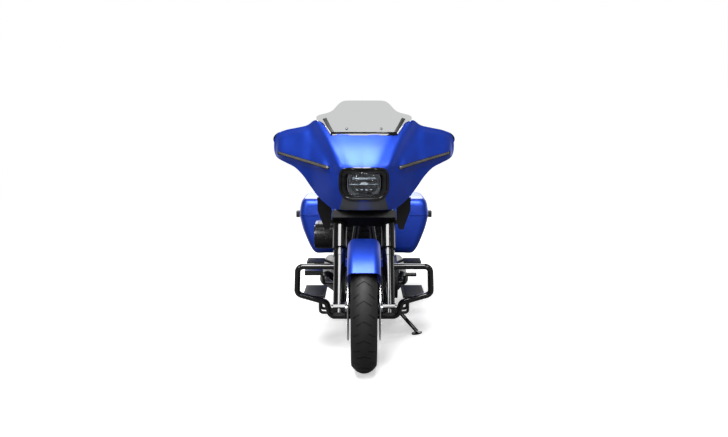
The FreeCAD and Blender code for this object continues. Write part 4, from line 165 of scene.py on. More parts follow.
patterned("strip_smoke",  # the brownish grey of an unlit lamp
          "smoked acrylic", "#4A4744", 0.18, 3, 0.02, coat=0.6, spread=("#46433F", "#504D49"))
patterned("charcoal",  # painted sheen: satin black given a grey base that stands in for its reflection, with a dim metal shimmer
          "satin charcoal lacquer", "#4B4D50", 0.4, 1.5, 0.02, metal=0.5)
print("finishes made:", len(finish))

slotOf = {entry["node"]: entry["material_slot"] for entry in frame["record"]["subparts"]}
slotOf.update(front_fork="paint_black", engine_guard="paint_black", steering_clamps="matt_black")
for name, piece in nodes.items():
    chosen = finish[slotOf.get(name, "black_plastic")]
    for materialSlot in piece.material_slots:
        materialSlot.material = chosen
print("nodes dressed:", len(nodes))

# modelling moves: pieces are worked in millimetres on the upright machine, then leaned with it
toScene = leaned @ Matrix.Scale(mm, 4)
toUpright = toScene.inverted()
samePlace = 0.01  # mm within which two places count as one
weld = 0.02  # mm within which vertices are merged
facing = 0.9  # a normal this far along an axis faces that way


def leaveEdit():
    bpy.ops.object.mode_set(mode="OBJECT")


def clearSelection():
    if bpy.context.mode != "OBJECT":
        leaveEdit()
    bpy.ops.object.select_all(action="DESELECT")


def choose(piece):
    clearSelection()
    piece.select_set(True)
    bpy.context.view_layer.objects.active = piece


def newest(name):
    piece = bpy.context.object
    piece.name = name
    piece.data.name = name
    return piece


# edit mode, with the faces or vertices selected that pick chooses
def editParts(piece, kind, pick):
    choose(piece)
    bpy.ops.object.mode_set(mode="EDIT")
    bpy.ops.mesh.select_mode(type=kind)
    bpy.ops.mesh.select_all(action="DESELECT")
    leaveEdit()
    for part in (piece.data.polygons if kind == "FACE" else piece.data.vertices):
        part.select = bool(pick(part))
    bpy.ops.object.mode_set(mode="EDIT")


def editFaces(piece, pick):  # pick is told a face's centre and normal
    editParts(piece, "FACE", lambda face: pick(face.center, face.normal))


def everything(centre, normal):
    return True


def evenNormals(piece, merge=None):
    editFaces(piece, everything)
    if merge:
        bpy.ops.mesh.remove_doubles(threshold=merge)
    bpy.ops.mesh.normals_make_consistent(inside=False)
    leaveEdit()


def sheetOf(name, columns, rows, placeAt):  # a grid whose vertices go where placeAt(column, row) says
    clearSelection()
    bpy.ops.mesh.primitive_grid_add(x_subdivisions=columns, y_subdivisions=rows, size=2)
    sheet = newest(name)
    for index, vertex in enumerate(sheet.data.vertices):
        vertex.co = placeAt(index % (columns + 1), index // (columns + 1))
    return sheet


def finishPiece(piece, material, body, stands=(), smooth=40, recalc=True):
    choose(piece)
    bpy.ops.object.transform_apply()
    for modifier in list(piece.modifiers):
        bpy.ops.object.modifier_apply(modifier=modifier.name)
    if recalc:
        bpy.ops.object.mode_set(mode="EDIT")
        bpy.ops.mesh.select_all(action="SELECT")
        bpy.ops.mesh.normals_make_consistent(inside=False)
        leaveEdit()
    piece.data.transform(toScene)
    bpy.ops.object.shade_smooth_by_angle(angle=math.radians(smooth))
    piece.data.materials.clear()
    piece.data.materials.append(finish[material])
    if stands:
        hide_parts(*stands)
    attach(piece, body)
    clearSelection()


def bevelled(piece, width, segments=2, limit=40):
    edge = piece.modifiers.new("edge", "BEVEL")
    edge.width = width
    edge.segments = segments
    edge.limit_method = "ANGLE"
    edge.angle_limit = math.radians(limit)
    return piece


def thickened(piece, thickness, offset):
    thick = piece.modifiers.new("thick", "SOLIDIFY")
    thick.thickness = thickness
    thick.offset = offset


def softened(piece, factor, iterations):
    eased = piece.modifiers.new("eased", "SMOOTH")
    eased.factor = factor
    eased.iterations = iterations


def curveThrough(points, steps):  # a smooth line through the points, the same on both sides of each
    line = []
    for i in range(len(points) - 1):
        a, b = points[max(i - 1, 0)], points[i]
        c, e = points[i + 1], points[min(i + 2, len(points) - 1)]
        for k in range(steps):
            t = k / steps
            line.append(tuple(0.5 * (2 * q + (r - p) * t + (2 * p - 5 * q + 4 * r - w) * t * t
                                     + (3 * q - p - 3 * r + w) * t ** 3)
                              for p, q, r, w in zip(a, b, c, e)))
    return line + [tuple(points[-1])]


def ringOf(half, steps=4):  # a closed outline from its right half, which runs from the bottom up
    right = curveThrough(half, steps)
    return (right + [(-x, z) for x, z in reversed(right[:-1])])[:-1]


def plateOf(name, places, shift):  # a flat plate through the places, made thick by the shift
    clearSelection()
    bpy.ops.mesh.primitive_circle_add(vertices=len(places), radius=1, fill_type="NGON")
    plate = newest(name)
    for vertex, place in zip(plate.data.vertices, places):
        vertex.co = place
    editFaces(plate, everything)
    bpy.ops.mesh.extrude_region_move(TRANSFORM_OT_translate=dict(value=shift))
    leaveEdit()
    return plate


def plateFrom(name, outline, front, back):  # facing the nose, from an outline of (x, z)
    return plateOf(name, [(x, back, z) for x, z in outline], (0, front - back, 0))


def plateAlongX(name, outline, near, far):  # facing the side, from an outline of (y, z)
    return plateOf(name, [(near, y, z) for y, z in outline], (far - near, 0, 0))


def pushIn(plate, width, depth, front):  # insets the plate's widest front face and pushes it back
    widest = max((face for face in plate.data.polygons if abs(face.center.y - front) < samePlace),
                 key=lambda face: face.area).center.copy()
    editFaces(plate, lambda c, n: (c - widest).length < samePlace)
    bpy.ops.mesh.inset(thickness=width)
    bpy.ops.transform.translate(value=(0, depth, 0))
    leaveEdit()
    return front + depth


def dished(name, outline, form):  # a plate with a rim round a face that is pushed in
    plate = plateFrom(name, outline, form["front"], form["back"])
    pushIn(plate, form["rim"], form["dip"], form["front"])
    return plate


def sliced(plate, stepX, stepZ=math.inf):  # cuts a wide plate across, so that it can follow a curve
    spots = [vertex.co.copy() for vertex in plate.data.vertices]
    for axis, step in ((0, stepX), (2, stepZ)):
        low, high = min(p[axis] for p in spots), max(p[axis] for p in spots)
        count = int((high - low) / step)
        for i in range(1, count + 1):
            editFaces(plate, everything)
            place = [0, 0, 0]
            place[axis] = low + (high - low) * i / (count + 1)
            bpy.ops.mesh.bisect(plane_co=place, plane_no=(1, 0, 0) if axis == 0 else (0, 0, 1))
            leaveEdit()
    return plate


def joined(pieces):
    clearSelection()
    for piece in pieces:
        piece.select_set(True)
    bpy.context.view_layer.objects.active = pieces[0]
    bpy.ops.object.join()
    return pieces[0]


# fairing: the painted shell with its two crests, in place of the plain skin
shell = dict(
    halfWidth=484, bottom=796, height=453, nose=-747, depth=430, wall=4,
    columns=(0.0, 0.19, 0.36, 0.54, 0.72, 0.91, 1.05),
    rows=(-0.04, 0.14, 0.32, 0.50, 0.65, 0.78, 0.89, 1.02),
    depths=((0.13, 0.16, 0.35, 0.53, 0.69, 0.83, 0.92), (0.04, 0.07, 0.25, 0.51, 0.68, 0.83, 0.92),
        (0.00, 0.03, 0.21, 0.46, 0.64, 0.81, 0.91), (0.04, 0.06, 0.22, 0.43, 0.62, 0.78, 0.90),
        (0.13, 0.15, 0.25, 0.46, 0.65, 0.81, 0.94), (0.25, 0.27, 0.34, 0.54, 0.74, 0.88, 0.99),
        (0.37, 0.38, 0.43, 0.62, 0.81, 0.94, 1.04), (0.51, 0.51, 0.56, 0.74, 0.90, 1.02, 1.11)),
    lowerEdge=((0, 798), (60, 798), (104, 797), (140, 797), (172, 805), (207, 830), (240, 859), (280, 910),
        (317, 961), (361, 1002), (412, 1026), (450, 1043), (470, 1060), (480, 1085), (483, 1112)),
    upperEdge=((0, 1175), (60, 1176), (110, 1178), (172, 1181), (186, 1195), (210, 1232), (236, 1245),
        (262, 1248), (300, 1223), (361, 1209), (412, 1199), (450, 1186), (470, 1172), (480, 1150),
        (483, 1130)),
    rungs=5, steps=60,
    crest=((253, 1245), (225, 1205), (193, 1160), (165, 1110), (146, 1068), (128, 1025), (118, 985)),
    crestSteps=6, crestRise=8, crestWidth=20, crestFade=(965, 1030),
    hollow=9, hollowAway=50, hollowWidth=32, swell=13, swellWidth=95,
    brow=20, browReach=70, browFall=17, browSink=9,
    browLine=((178, 1009), (458, 1080)), browFrom=(150, 215), browTo=(455, 480),
    roll=11, rollReach=36, rollFrom=(262, 330), rollTo=(430, 478),
    arch=((0, 845), (60, 846), (100, 858), (122, 890), (127, 925), (126, 975), (114, 1003), (88, 1014),
        (40, 1017), (0, 1017)),
    chin=((-125, 798), (-62, 798), (0, 798), (62, 798), (125, 798), (107, 862), (0, 862), (-107, 862)),
    tuck=6, smooth=50,
)


def blendOf(values, t):  # the value at t on an even cubic spline with its ends clamped
    spans = len(values) - 3
    knots = [0] * 3 + [i / spans for i in range(spans + 1)] + [1] * 3
    k = min(int(t * spans), spans - 1) + 3
    work = [values[k - 3 + j] for j in range(4)]
    for r in range(1, 4):
        for j in range(3, r - 1, -1):
            low, high = knots[j + k - 3], knots[j + 1 + k - r]
            share = (t - low) / (high - low)
            work[j] = (1 - share) * work[j - 1] + share * work[j]
    return work[3]


def solveFor(values, wanted, halvings=22):
    low, high = 0.0, 1.0
    for step in range(halvings):
        middle = (low + high) / 2
        if blendOf(values, middle) < wanted:
            low = middle
        else:
            high = middle
    return (low + high) / 2


fullColumns = [-c for c in shell["columns"][:0:-1]] + list(shell["columns"])
fullDepths = [list(row[:0:-1]) + list(row) for row in shell["depths"]]


def skinAt(x, z):  # how far back the plain skin lies at a point of its front view
    across = solveFor(fullColumns, x / shell["halfWidth"])
    up = solveFor(shell["rows"], (z - shell["bottom"]) / shell["height"])
    return shell["nose"] + shell["depth"] * blendOf([blendOf(row, across) for row in fullDepths], up)


def bump(distance, width):
    return math.exp(-(distance / width) ** 2)


def ease(value, low, high):
    t = min(max((value - low) / (high - low), 0), 1)
    return t * t * (3 - 2 * t)


crestLine = curveThrough(shell["crest"], shell["crestSteps"])


def gapTo(x, z, a, b):  # the line from a to b, and the way from its nearest place to the point
    along, offset = Vector((b[0] - a[0], b[1] - a[1])), Vector((x - a[0], z - a[1]))
    t = offset.dot(along) / along.length_squared if along.length > 0 else 0
    return along, offset - along * min(max(t, 0), 1)


def crestDistance(x, z):  # positive outside the crest
    gaps = [gapTo(x, z, a, b) for a, b in zip(crestLine, crestLine[1:])]
    along, gap = min(gaps, key=lambda pair: pair[1].length)
    return gap.length if gap.y * along.x > gap.x * along.y else -gap.length


def heightOn(line, x):
    for (ax, az), (bx, bz) in zip(line, line[1:]):
        if x <= bx:
            return az + (bz - az) * (x - ax) / max(bx - ax, samePlace)
    return line[-1][1]


def browLine(x):
    (ax, az), (bx, bz) = shell["browLine"]
    return az + (x - ax) * (bz - az) / (bx - ax)


lower = curveThrough(shell["lowerEdge"], shell["rungs"])
upper = curveThrough(shell["upperEdge"], shell["rungs"])


# what the crest, its hollow, the brow over the light strip and the rolled upper edge add, in mm to the rear
def formAt(x, z):
    x = abs(x)
    away = crestDistance(x, z)
    fade = ease(z, *shell["crestFade"])
    form = -shell["crestRise"] * bump(away, shell["crestWidth"]) * fade
    form += shell["hollow"] * bump(away - shell["hollowAway"], shell["hollowWidth"]) * fade
    form -= shell["swell"] * bump(away, shell["swellWidth"]) * fade
    over = z - browLine(x) + shell["browSink"]
    reach = ease(x, *shell["browFrom"]) * (1 - ease(x, *shell["browTo"]))
    form -= shell["brow"] * bump(over, shell["browReach" if over > 0 else "browFall"]) * reach
    rolled = shell["roll"] * ease(heightOn(upper, x) - z, 0, shell["rollReach"])
    return form - rolled * ease(x, *shell["rollFrom"]) * (1 - ease(x, *shell["rollTo"]))


@cache
def panelAt(x, z):
    return skinAt(x, z) + formAt(x, z)


def wrapped(piece):  # bends a plate that was modelled flat at y 0 onto the fairing's panel
    for vertex in piece.data.vertices:
        vertex.co.y += panelAt(vertex.co.x, vertex.co.z)
    return piece


def depthInside(outline, x, z):  # negative outside the outline
    inside, nearest = False, math.inf
    for a, b in zip(outline, outline[1:] + outline[:1]):
        if (a[1] > z) != (b[1] > z) and x < a[0] + (b[0] - a[0]) * (z - a[1]) / (b[1] - a[1]):
            inside = not inside
        nearest = min(nearest, gapTo(x, z, a, b)[1].length)
    return nearest if inside else -nearest


across = len(lower) - 1


def shellAt(column, row):
    (lowX, lowZ), (highX, highZ) = lower[abs(column - across)], upper[abs(column - across)]
    t = row / shell["steps"]
    x, z = lowX + (highX - lowX) * t, lowZ + (highZ - lowZ) * t
    return (x if column > across else -x, panelAt(x, z), z)


fairing = sheetOf("fairingShell", 2 * across, shell["steps"], shellAt)
arch = ringOf(shell["arch"])
edges = (arch, shell["chin"])
editFaces(fairing, lambda c, n: max(depthInside(edge, c.x, c.z) for edge in edges) > shell["tuck"])
bpy.ops.mesh.delete(type="FACE")
leaveEdit()
evenNormals(fairing)
if sum(polygon.normal.y * polygon.area for polygon in fairing.data.polygons) > 0:
    fairing.data.flip_normals()
thickened(fairing, shell["wall"], -1)
finishPiece(fairing, "paint_blue", "steering", ("fairing_outer",), smooth=shell["smooth"], recalc=False)
print("fairing shell:", len(fairing.data.polygons))

# headlight: arch-shaped surround stepped into a well, then the backing, halo, lamp rows and glass
headlamp = dict(
    stand=6, back=30, edge=1.2,
    steps=((11, 0), (4, 8), (15, 0), (2, 5), (3, 0), (1, 26)),  # inset and depth of each step
    glassEdge=((0, 869), (40, 870), (68, 881), (82, 905), (84, 945), (80, 972), (66, 986), (36, 991),
        (0, 991)),
    slice=15, fineEdge=0.6, haloEdge=0.8, cellEdge=0.5,
    backing=dict(front=12, back=18, rim=12, dip=6),
    halo=dict(front=8, back=14, rim=6, dip=4),
    glass=dict(front=-1, back=1.5, rim=8, dip=-1.5),
    hood=dict(front=4, back=14, rim=2.5, dip=1.5),
    hoodEdge=((-14, 929), (14, 929), (18, 937), (8, 943), (-8, 943), (-18, 937)),
    cells=dict(lampRow=dict(xs=range(-52, 53, 13), z=962, halfX=4.6, halfZ=5, front=7),
        lampFoot=dict(xs=(-34, -12, 12, 34), z=905, halfX=6, halfZ=3, front=8),
        lampMiddle=dict(xs=(-42, 42), z=932, halfX=27, halfZ=1.6, front=6)),
    cellBack=14, cellRim=0.35, cellDip=1.2,
)
surround = plateFrom("headlightSurround", arch, -headlamp["stand"], headlamp["back"])
face = -headlamp["stand"]
for width, depth in headlamp["steps"]:
    face = pushIn(surround, width, depth, face)
bevelled(wrapped(surround), headlamp["edge"])
finishPiece(surround, "gloss_plastic", "steering", ("headlight_bezel", "headlight"))

glassRing = ringOf(headlamp["glassEdge"])
backing = sliced(dished("lampBacking", glassRing, headlamp["backing"]), headlamp["slice"], headlamp["slice"])
finishPiece(bevelled(wrapped(backing), headlamp["fineEdge"]), "gloss_plastic", "steering")
halo = dished("lampHalo", glassRing, headlamp["halo"])
haloFloor = headlamp["halo"]["front"] + headlamp["halo"]["dip"]
editFaces(halo, lambda c, n: abs(c.y - haloFloor) < samePlace and n.y < -facing)
bpy.ops.mesh.delete(type="FACE")
leaveEdit()
finishPiece(bevelled(wrapped(halo), headlamp["haloEdge"]), "lamp_halo", "steering")
lampParts = []
for name, cell in headlamp["cells"].items():
    rim = min(cell["halfX"], cell["halfZ"]) * headlamp["cellRim"]
    form = dict(front=cell["front"], back=headlamp["cellBack"], rim=rim, dip=headlamp["cellDip"])
    for i, x in enumerate(cell["xs"]):
        low, high = cell["z"] - cell["halfZ"], cell["z"] + cell["halfZ"]
        left, right = x - cell["halfX"], x + cell["halfX"]
        corners = [(left, low), (right, low), (right, high), (left, high)]
        lampParts.append(dished(name + str(i), corners, form))
finishPiece(bevelled(wrapped(joined(lampParts)), headlamp["cellEdge"]), "lamp_cell", "steering")
hood = dished("lampHood", headlamp["hoodEdge"], headlamp["hood"])
finishPiece(wrapped(bevelled(hood, headlamp["haloEdge"])), "machined", "steering")
glass = sliced(dished("headlightGlass", glassRing, headlamp["glass"]), headlamp["slice"], headlamp["slice"])
finishPiece(bevelled(wrapped(glass), headlamp["fineEdge"]), "lamp_glass", "steering", smooth=60)
print("headlight modelled")

# light strips, chin skirt and the rail under the screen
strips = dict(
    low=((176, 999), (459, 1071)), high=((459, 1087), (176, 1019)), cuts=16, slice=15,
    edge=0.6, front=-4, back=4, frame=1.8, dip=2.5, lensIn=2.4, lensEnds=(180, 453),
    lensFront=-3, lensBack=2)
chin = dict(front=-2.5, back=6, sliceX=16, sliceZ=14, edge=1.0)
rail = dict(
    low=((-172, 1172), (172, 1172)), high=((168, 1190), (-168, 1190)), cuts=24, front=-3,
    back=10, edge=1.5)


def evenly(ends, cuts):  # places along a straight line
    return [tuple(a + (b - a) * i / cuts for a, b in zip(*ends)) for i in range(cuts + 1)]


for side, tag in ((1, "Left"), (-1, "Right")):
    low, high = evenly(strips["low"], strips["cuts"]), evenly(strips["high"], strips["cuts"])
    outline = [(x * side, z) for x, z in low + high]
    casing = plateFrom("stripFrame" + tag, outline, strips["front"], strips["back"])
    pushIn(casing, strips["frame"], strips["dip"], strips["front"])
    casing = bevelled(wrapped(sliced(casing, strips["slice"])), strips["edge"])
    finishPiece(casing, "gloss_plastic", "steering", ("light_strips",))
    (least, most), inset = strips["lensEnds"], strips["lensIn"]
    outline = [(x, z + inset) for x, z in low] + [(x, z - inset) for x, z in high]
    outline = [(max(min(x, most), least) * side, z) for x, z in outline]
    lens = plateFrom("stripLens" + tag, outline, strips["lensFront"], strips["lensBack"])
    lens = bevelled(wrapped(sliced(lens, strips["slice"])), strips["edge"])
    finishPiece(lens, "strip_smoke", "steering", smooth=60)
# the chin skirt is satin black; its grey finish is a painted sheen standing in for what it reflects
skirt = plateFrom("chinSkirt", shell["chin"], chin["front"], chin["back"])
skirt = bevelled(wrapped(sliced(skirt, chin["sliceX"], chin["sliceZ"])), chin["edge"])
finishPiece(skirt, "charcoal", "steering", ("fairing_skirt",))
railPlate = plateFrom("screenRail", evenly(rail["low"], rail["cuts"]) + evenly(rail["high"], rail["cuts"]),
                      rail["front"], rail["back"])
finishPiece(bevelled(wrapped(railPlate), rail["edge"]), "gloss_plastic", "steering")
print("front trim modelled")

# small fasteners: one socket-head screw, told by its radius and height
socket = dict(sides=18, rim=0.12, wall=0.34, depth=0.6)  # shares of the head's radius or height


def screw(name, at, axis, radius, height):
    clearSelection()
    bpy.ops.mesh.primitive_cylinder_add(vertices=socket["sides"], radius=radius, depth=height,
                                        location=(0, 0, height / 2))
    head = newest(name)
    bpy.ops.object.transform_apply()
    editFaces(head, lambda c, n: n.z > facing)
    bpy.ops.mesh.inset(thickness=radius * socket["rim"], depth=height * socket["rim"])
    bpy.ops.mesh.inset(thickness=radius * socket["wall"])
    bpy.ops.transform.translate(value=(0, 0, -height * socket["depth"]))
    leaveEdit()
    turn = Vector(axis).to_track_quat("Z", "Y").to_matrix().to_4x4()
    head.data.transform(Matrix.Translation(at) @ turn)
    return head


# a block with rolled edges on the left side, its corners told from a base, or its like on the right
def softBox(name, side, base, low, high, edge, segments=2):
    low, high = ([a + b for a, b in zip(base, corner)] for corner in (low, high))
    low[0], high[0] = sorted((side * low[0], side * high[0]))
    clearSelection()
    bpy.ops.mesh.primitive_cube_add(size=1, location=[(a + b) / 2 for a, b in zip(low, high)])
    block = newest(name)
    block.scale = [b - a for a, b in zip(low, high)]
    bpy.ops.object.transform_apply()
    return bevelled(block, edge, segments, limit=30)


def around(centre, radius, turn):  # a point (y, z) on a circle in the side view
    return centre[0] + radius * math.cos(turn), centre[1] + radius * math.sin(turn)


# screen: two screws, the smoked pane and the black stays at its lower corners
screen = dict(
    halfWidth=252, baseY=-583.7, depth=140, baseZ=1196, height=154, bow=0.8, forward=12,
    backs=((0, 0), (0.28, 0.02), (0.55, 0.1), (0.82, 0.28), (1.15, 0.6)),
    screwX=88, screwZ=1204, screwAxis=(0, -1, 0.9), screw=(6.5, 5),
    top=((0, 1353.6), (60, 1353.6), (98, 1353), (120, 1346), (140, 1328), (158, 1305), (180, 1291),
        (215, 1281), (238, 1275), (250, 1265)),
    foot=((0, 1178), (90, 1178), (150, 1178), (176, 1196), (200, 1217), (225, 1234), (250, 1252)),
    rungs=3, paneHalf=250, columns=48, rows=10, paneBack=14, thickness=3,
    stay=((150, 1184), (166, 1180), (190, 1214), (216, 1256), (196, 1262), (176, 1226)),
    stayDepth=5, stayBack=8, stayEdge=1.2,
)


def screenAt(x, z):  # how far back the screen lies
    lean = (z - screen["baseZ"]) / screen["height"]
    bow = screen["bow"] * heightOn(screen["backs"], abs(x) / screen["halfWidth"])
    return screen["baseY"] + screen["depth"] * (lean + bow) - screen["forward"]


screws = []
for x in (-screen["screwX"], screen["screwX"]):
    at = (x, screenAt(x, screen["screwZ"]), screen["screwZ"])
    screws.append(screw("screenScrew" + str(x), at, screen["screwAxis"], *screen["screw"]))
finishPiece(joined(screws), "chrome", "steering")
paneTop = curveThrough(screen["top"], screen["rungs"])
paneFoot = curveThrough(screen["foot"], screen["rungs"])


def paneAt(column, row):
    x = screen["paneHalf"] * (column * 2 / screen["columns"] - 1)
    low, high = heightOn(paneFoot, abs(x)), heightOn(paneTop, abs(x))
    z = low + (high - low) * row / screen["rows"]
    return (x, screenAt(x, z) + screen["paneBack"], z)


pane = sheetOf("screenPane", screen["columns"], screen["rows"], paneAt)
softened(pane, 0.5, 2)
thickened(pane, screen["thickness"], 0)
finishPiece(pane, "screen_smoke", "steering", ("windshield",), smooth=60)
for side in (1, -1):
    outline = [(x * side, z) for x, z in screen["stay"]]
    stay = plateFrom("screenStay" + str(side), outline, 0, screen["stayDepth"])
    for vertex in stay.data.vertices:
        vertex.co.y += screenAt(vertex.co.x, vertex.co.z) + screen["stayBack"]
    finishPiece(bevelled(stay, screen["stayEdge"]), "black_plastic", "steering")
print("screen fitted")

# brake discs: ground rings with drilled rows, on slim black carriers
frontDisc = dict(wheel="front", x=79, outer=158, inner=112, hub=42, hubX=60.4)
discs = dict(
    frontLeft={**frontDisc, "out": 1, "stands": ("front_discs",)},
    frontRight={**frontDisc, "out": -1, "stands": ()},
    rear=dict(wheel="rear", x=102, outer=148, inner=104, hub=50, hubX=86.4, out=-1,
        stands=("rear_disc",)),
)
drill = dict(cells=72, bands=4, shift=2, every=4, web=2.9, inFrom=2.5, thickness=4.9)
carrier = dict(
    arms=6, foot=16, footAt=0.6, waist=9, waistAt=0.72, tip=11, tipLap=7,
    half=2.8, boss=0.82, bossSides=32, bossLap=2.5, edge=0.8,
    rivetLap=1, rivetOut=2.4, rivet=(7, 2.2))
for place, rotor in discs.items():
    hub, inner, out = rotor["hub"], rotor["inner"], rotor["out"]
    wide, discX, axle = rotor["outer"] - inner, rotor["x"] * out, axles[rotor["wheel"]]
    body = rotor["wheel"] + "_wheel"

    def ringAt(column, row):
        turn = 2 * math.pi * column / drill["cells"]
        return (discX - drill["inFrom"], *around(axle, inner + wide * row / drill["bands"], turn))

    def drilled(c, n):
        band = int((math.hypot(c.y - axle[0], c.z - axle[1]) - inner) / wide * drill["bands"])
        turn = math.atan2(c.z - axle[1], c.y - axle[0]) % (2 * math.pi)
        cell = int(turn / (2 * math.pi) * drill["cells"])
        return (cell + drill["shift"] * band) % drill["every"] == 0

    ring = sheetOf(place + "DiscRing", drill["cells"], drill["bands"], ringAt)
    editFaces(ring, everything)
    bpy.ops.mesh.remove_doubles(threshold=weld)
    leaveEdit()
    editFaces(ring, drilled)
    bpy.ops.mesh.inset(thickness=drill["web"], use_individual=True)
    bpy.ops.mesh.delete(type="FACE")
    leaveEdit()
    thickened(ring, drill["thickness"], 1 if ring.data.polygons[0].normal.x > 0 else -1)
    finishPiece(ring, "disc_steel", body, rotor["stands"], smooth=30)

    half = [(carrier["foot"], hub * carrier["footAt"]), (carrier["waist"], inner * carrier["waistAt"]),
            (carrier["tip"], inner + carrier["tipLap"])]
    armEdge = [(-carrier["foot"], hub * carrier["footAt"])] + half + [(-y, z) for y, z in half[:0:-1]]
    parts, rivets = [], []
    for i in range(carrier["arms"]):
        turn = Matrix.Rotation(2 * math.pi * i / carrier["arms"], 4, "X")
        near, far = discX - carrier["half"] * out, discX + carrier["half"] * out
        arm = plateAlongX(place + "Arm" + str(i), armEdge, near, far)
        arm.data.transform(Matrix.Translation((0, *axle)) @ turn)
        parts.append(arm)
        spot = turn @ Vector((0, 0, inner + carrier["rivetLap"]))
        spot += Vector((discX + carrier["rivetOut"] * out, *axle))
        rivets.append(screw(place + "Rivet" + str(i), spot, (out, 0, 0), *carrier["rivet"]))
    bossEdge = [around(axle, hub * carrier["boss"], 2 * math.pi * i / carrier["bossSides"])
                for i in range(carrier["bossSides"])]
    parts.append(plateAlongX(place + "Boss", bossEdge, rotor["hubX"] * out, discX + carrier["bossLap"] * out))
    finishPiece(bevelled(joined(parts), carrier["edge"]), "satin_black", body, smooth=35)
    finishPiece(joined(rivets), "machined", body)
print("discs drilled")

# saddlebags: smooth shells in place of the facetted ones, with black latches and hinges
bags = dict(
    front=372, length=700, inner=172, width=232, floor=420, height=238, lidHeight=106,
    wall=4, gap=3, rungs=4,
    stations=(  # place along, width, rise of the floor, fall of the top
        (0, 0.8, 0.2, 0.42), (0.004, 0.86, 0.13, 0.28), (0.014, 0.92, 0.07, 0.15), (0.035, 0.965, 0.02, 0.05),
        (0.08, 0.995, 0, 0), (0.3, 1, 0, 0), (0.55, 1, 0, 0), (0.72, 0.995, 0.035, 0.012),
        (0.86, 0.975, 0.11, 0.06), (0.935, 0.945, 0.19, 0.13), (0.972, 0.91, 0.25, 0.21),
        (0.99, 0.86, 0.31, 0.33), (0.997, 0.81, 0.35, 0.43), (1, 0.76, 0.4, 0.54)),
    bagBack=[(0, 1), (0, 0.5), (0, 0.06)],
    bagRound=((0.02, 0), (0.3, 0), (0.54, 0), (0.66, 0.1), (0.77, 0.3), (0.9, 0.62), (0.96, 0.83), (1, 1)),
    lidBack=[(0, 0), (0, 0.5), (0, 0.97)],
    lidRound=((0.03, 1), (0.4, 1), (0.78, 1), (0.87, 0.97), (0.93, 0.84), (0.965, 0.6), (0.99, 0.25), (1, 0)),
)
latches = dict(
    corners=((3, 492.4, -20), (25, 578.4, 18)), edge=4, segments=3, lipAt=20, lip=5,
    dish=2, root=((-4, 496, 4), (6, 575, 15)), rootEdge=1.5)
hinges = dict(
    x=165.7, rise=100, radius=6, sides=20, front=512, length=420, cuts=7,
    pinEdge=1, starts=(512, 889), post=((-3, 0, -26), (3, 43, 100)),
    foot=((-3, 0, -53), (8.3, 43, -8)), edge=1.2)
seam = bags["floor"] + bags["height"]
edgeX = bags["inner"] + bags["width"]
hulls = dict(
    Bag=dict(line=bags["bagBack"] + curveThrough(bags["bagRound"], bags["rungs"]),
        base=bags["floor"], tall=bags["height"]),
    Lid=dict(line=bags["lidBack"] + curveThrough(bags["lidRound"], bags["rungs"]),
        base=seam + bags["gap"], tall=bags["lidHeight"]))
for side, tag in ((1, "left"), (-1, "right")):
    for kind, form in hulls.items():
        isBag = kind == "Bag"

        def hullAt(column, row):
            along, width, rise, fall = bags["stations"][row]
            x, z = form["line"][column]
            low = form["base"] + (form["tall"] * rise if isBag else 0)
            high = form["base"] + form["tall"] - (0 if isBag else form["tall"] * fall)
            x = side * (bags["inner"] + bags["width"] * width * x)
            return (x, bags["front"] + bags["length"] * along, low + (high - low) * z)

        hull = sheetOf(tag + kind + "Shell", len(form["line"]) - 1, len(bags["stations"]) - 1, hullAt)
        for atEnd in (bags["front"], bags["front"] + bags["length"]):  # both ends are closed
            editParts(hull, "VERT", lambda vertex: abs(vertex.co.y - atEnd) < samePlace)
            bpy.ops.mesh.edge_face_add()
            leaveEdit()
        evenNormals(hull)
        middle = sum((vertex.co for vertex in hull.data.vertices), Vector()) / len(hull.data.vertices)
        if sum(face.normal.dot(face.center - middle) * face.area for face in hull.data.polygons) < 0:
            hull.data.flip_normals()
        thickened(hull, bags["wall"], -1)
        finishPiece(hull, "paint_blue", "chassis" if isBag else tag + "_lid",
                    ("saddlebag_" + tag if isBag else "lid_" + tag,), smooth=42, recalc=False)

    seamEdge = (edgeX, 0, seam)
    latch = softBox(tag + "Latch", side, seamEdge, *latches["corners"], latches["edge"], latches["segments"])
    editFaces(latch, lambda c, n: abs(n.x) > facing and abs(c.x) > edgeX + latches["lipAt"])
    bpy.ops.mesh.inset(thickness=latches["lip"])
    bpy.ops.mesh.inset(thickness=latches["dish"], depth=-latches["dish"])
    leaveEdit()
    root = softBox(tag + "LatchRoot", side, seamEdge, *latches["root"], latches["rootEdge"])
    finishPiece(joined([latch, root]), "black_plastic", tag + "_lid")

    clearSelection()
    bpy.ops.mesh.primitive_cylinder_add(
        vertices=hinges["sides"], radius=hinges["radius"], depth=hinges["length"],
        location=(side * hinges["x"], hinges["front"] + hinges["length"] / 2, seam + hinges["rise"]),
        rotation=(math.pi / 2, 0, 0))
    pin = newest(tag + "HingePin")
    bpy.ops.object.transform_apply()
    for i in range(1, hinges["cuts"]):
        editFaces(pin, everything)
        bpy.ops.mesh.bisect(plane_co=(0, hinges["front"] + hinges["length"] * i / hinges["cuts"], 0),
                            plane_no=(0, 1, 0))
        leaveEdit()
    parts = [bevelled(pin, hinges["pinEdge"], limit=50)]
    for start in hinges["starts"]:
        base = (hinges["x"], start, seam)
        parts.append(softBox(tag + "HingePost" + str(start), side, base, *hinges["post"], hinges["edge"]))
        parts.append(softBox(tag + "HingeFoot" + str(start), side, base, *hinges["foot"], hinges["edge"]))
    finishPiece(joined(parts), "satin_black", "chassis")
print("saddlebags modelled")

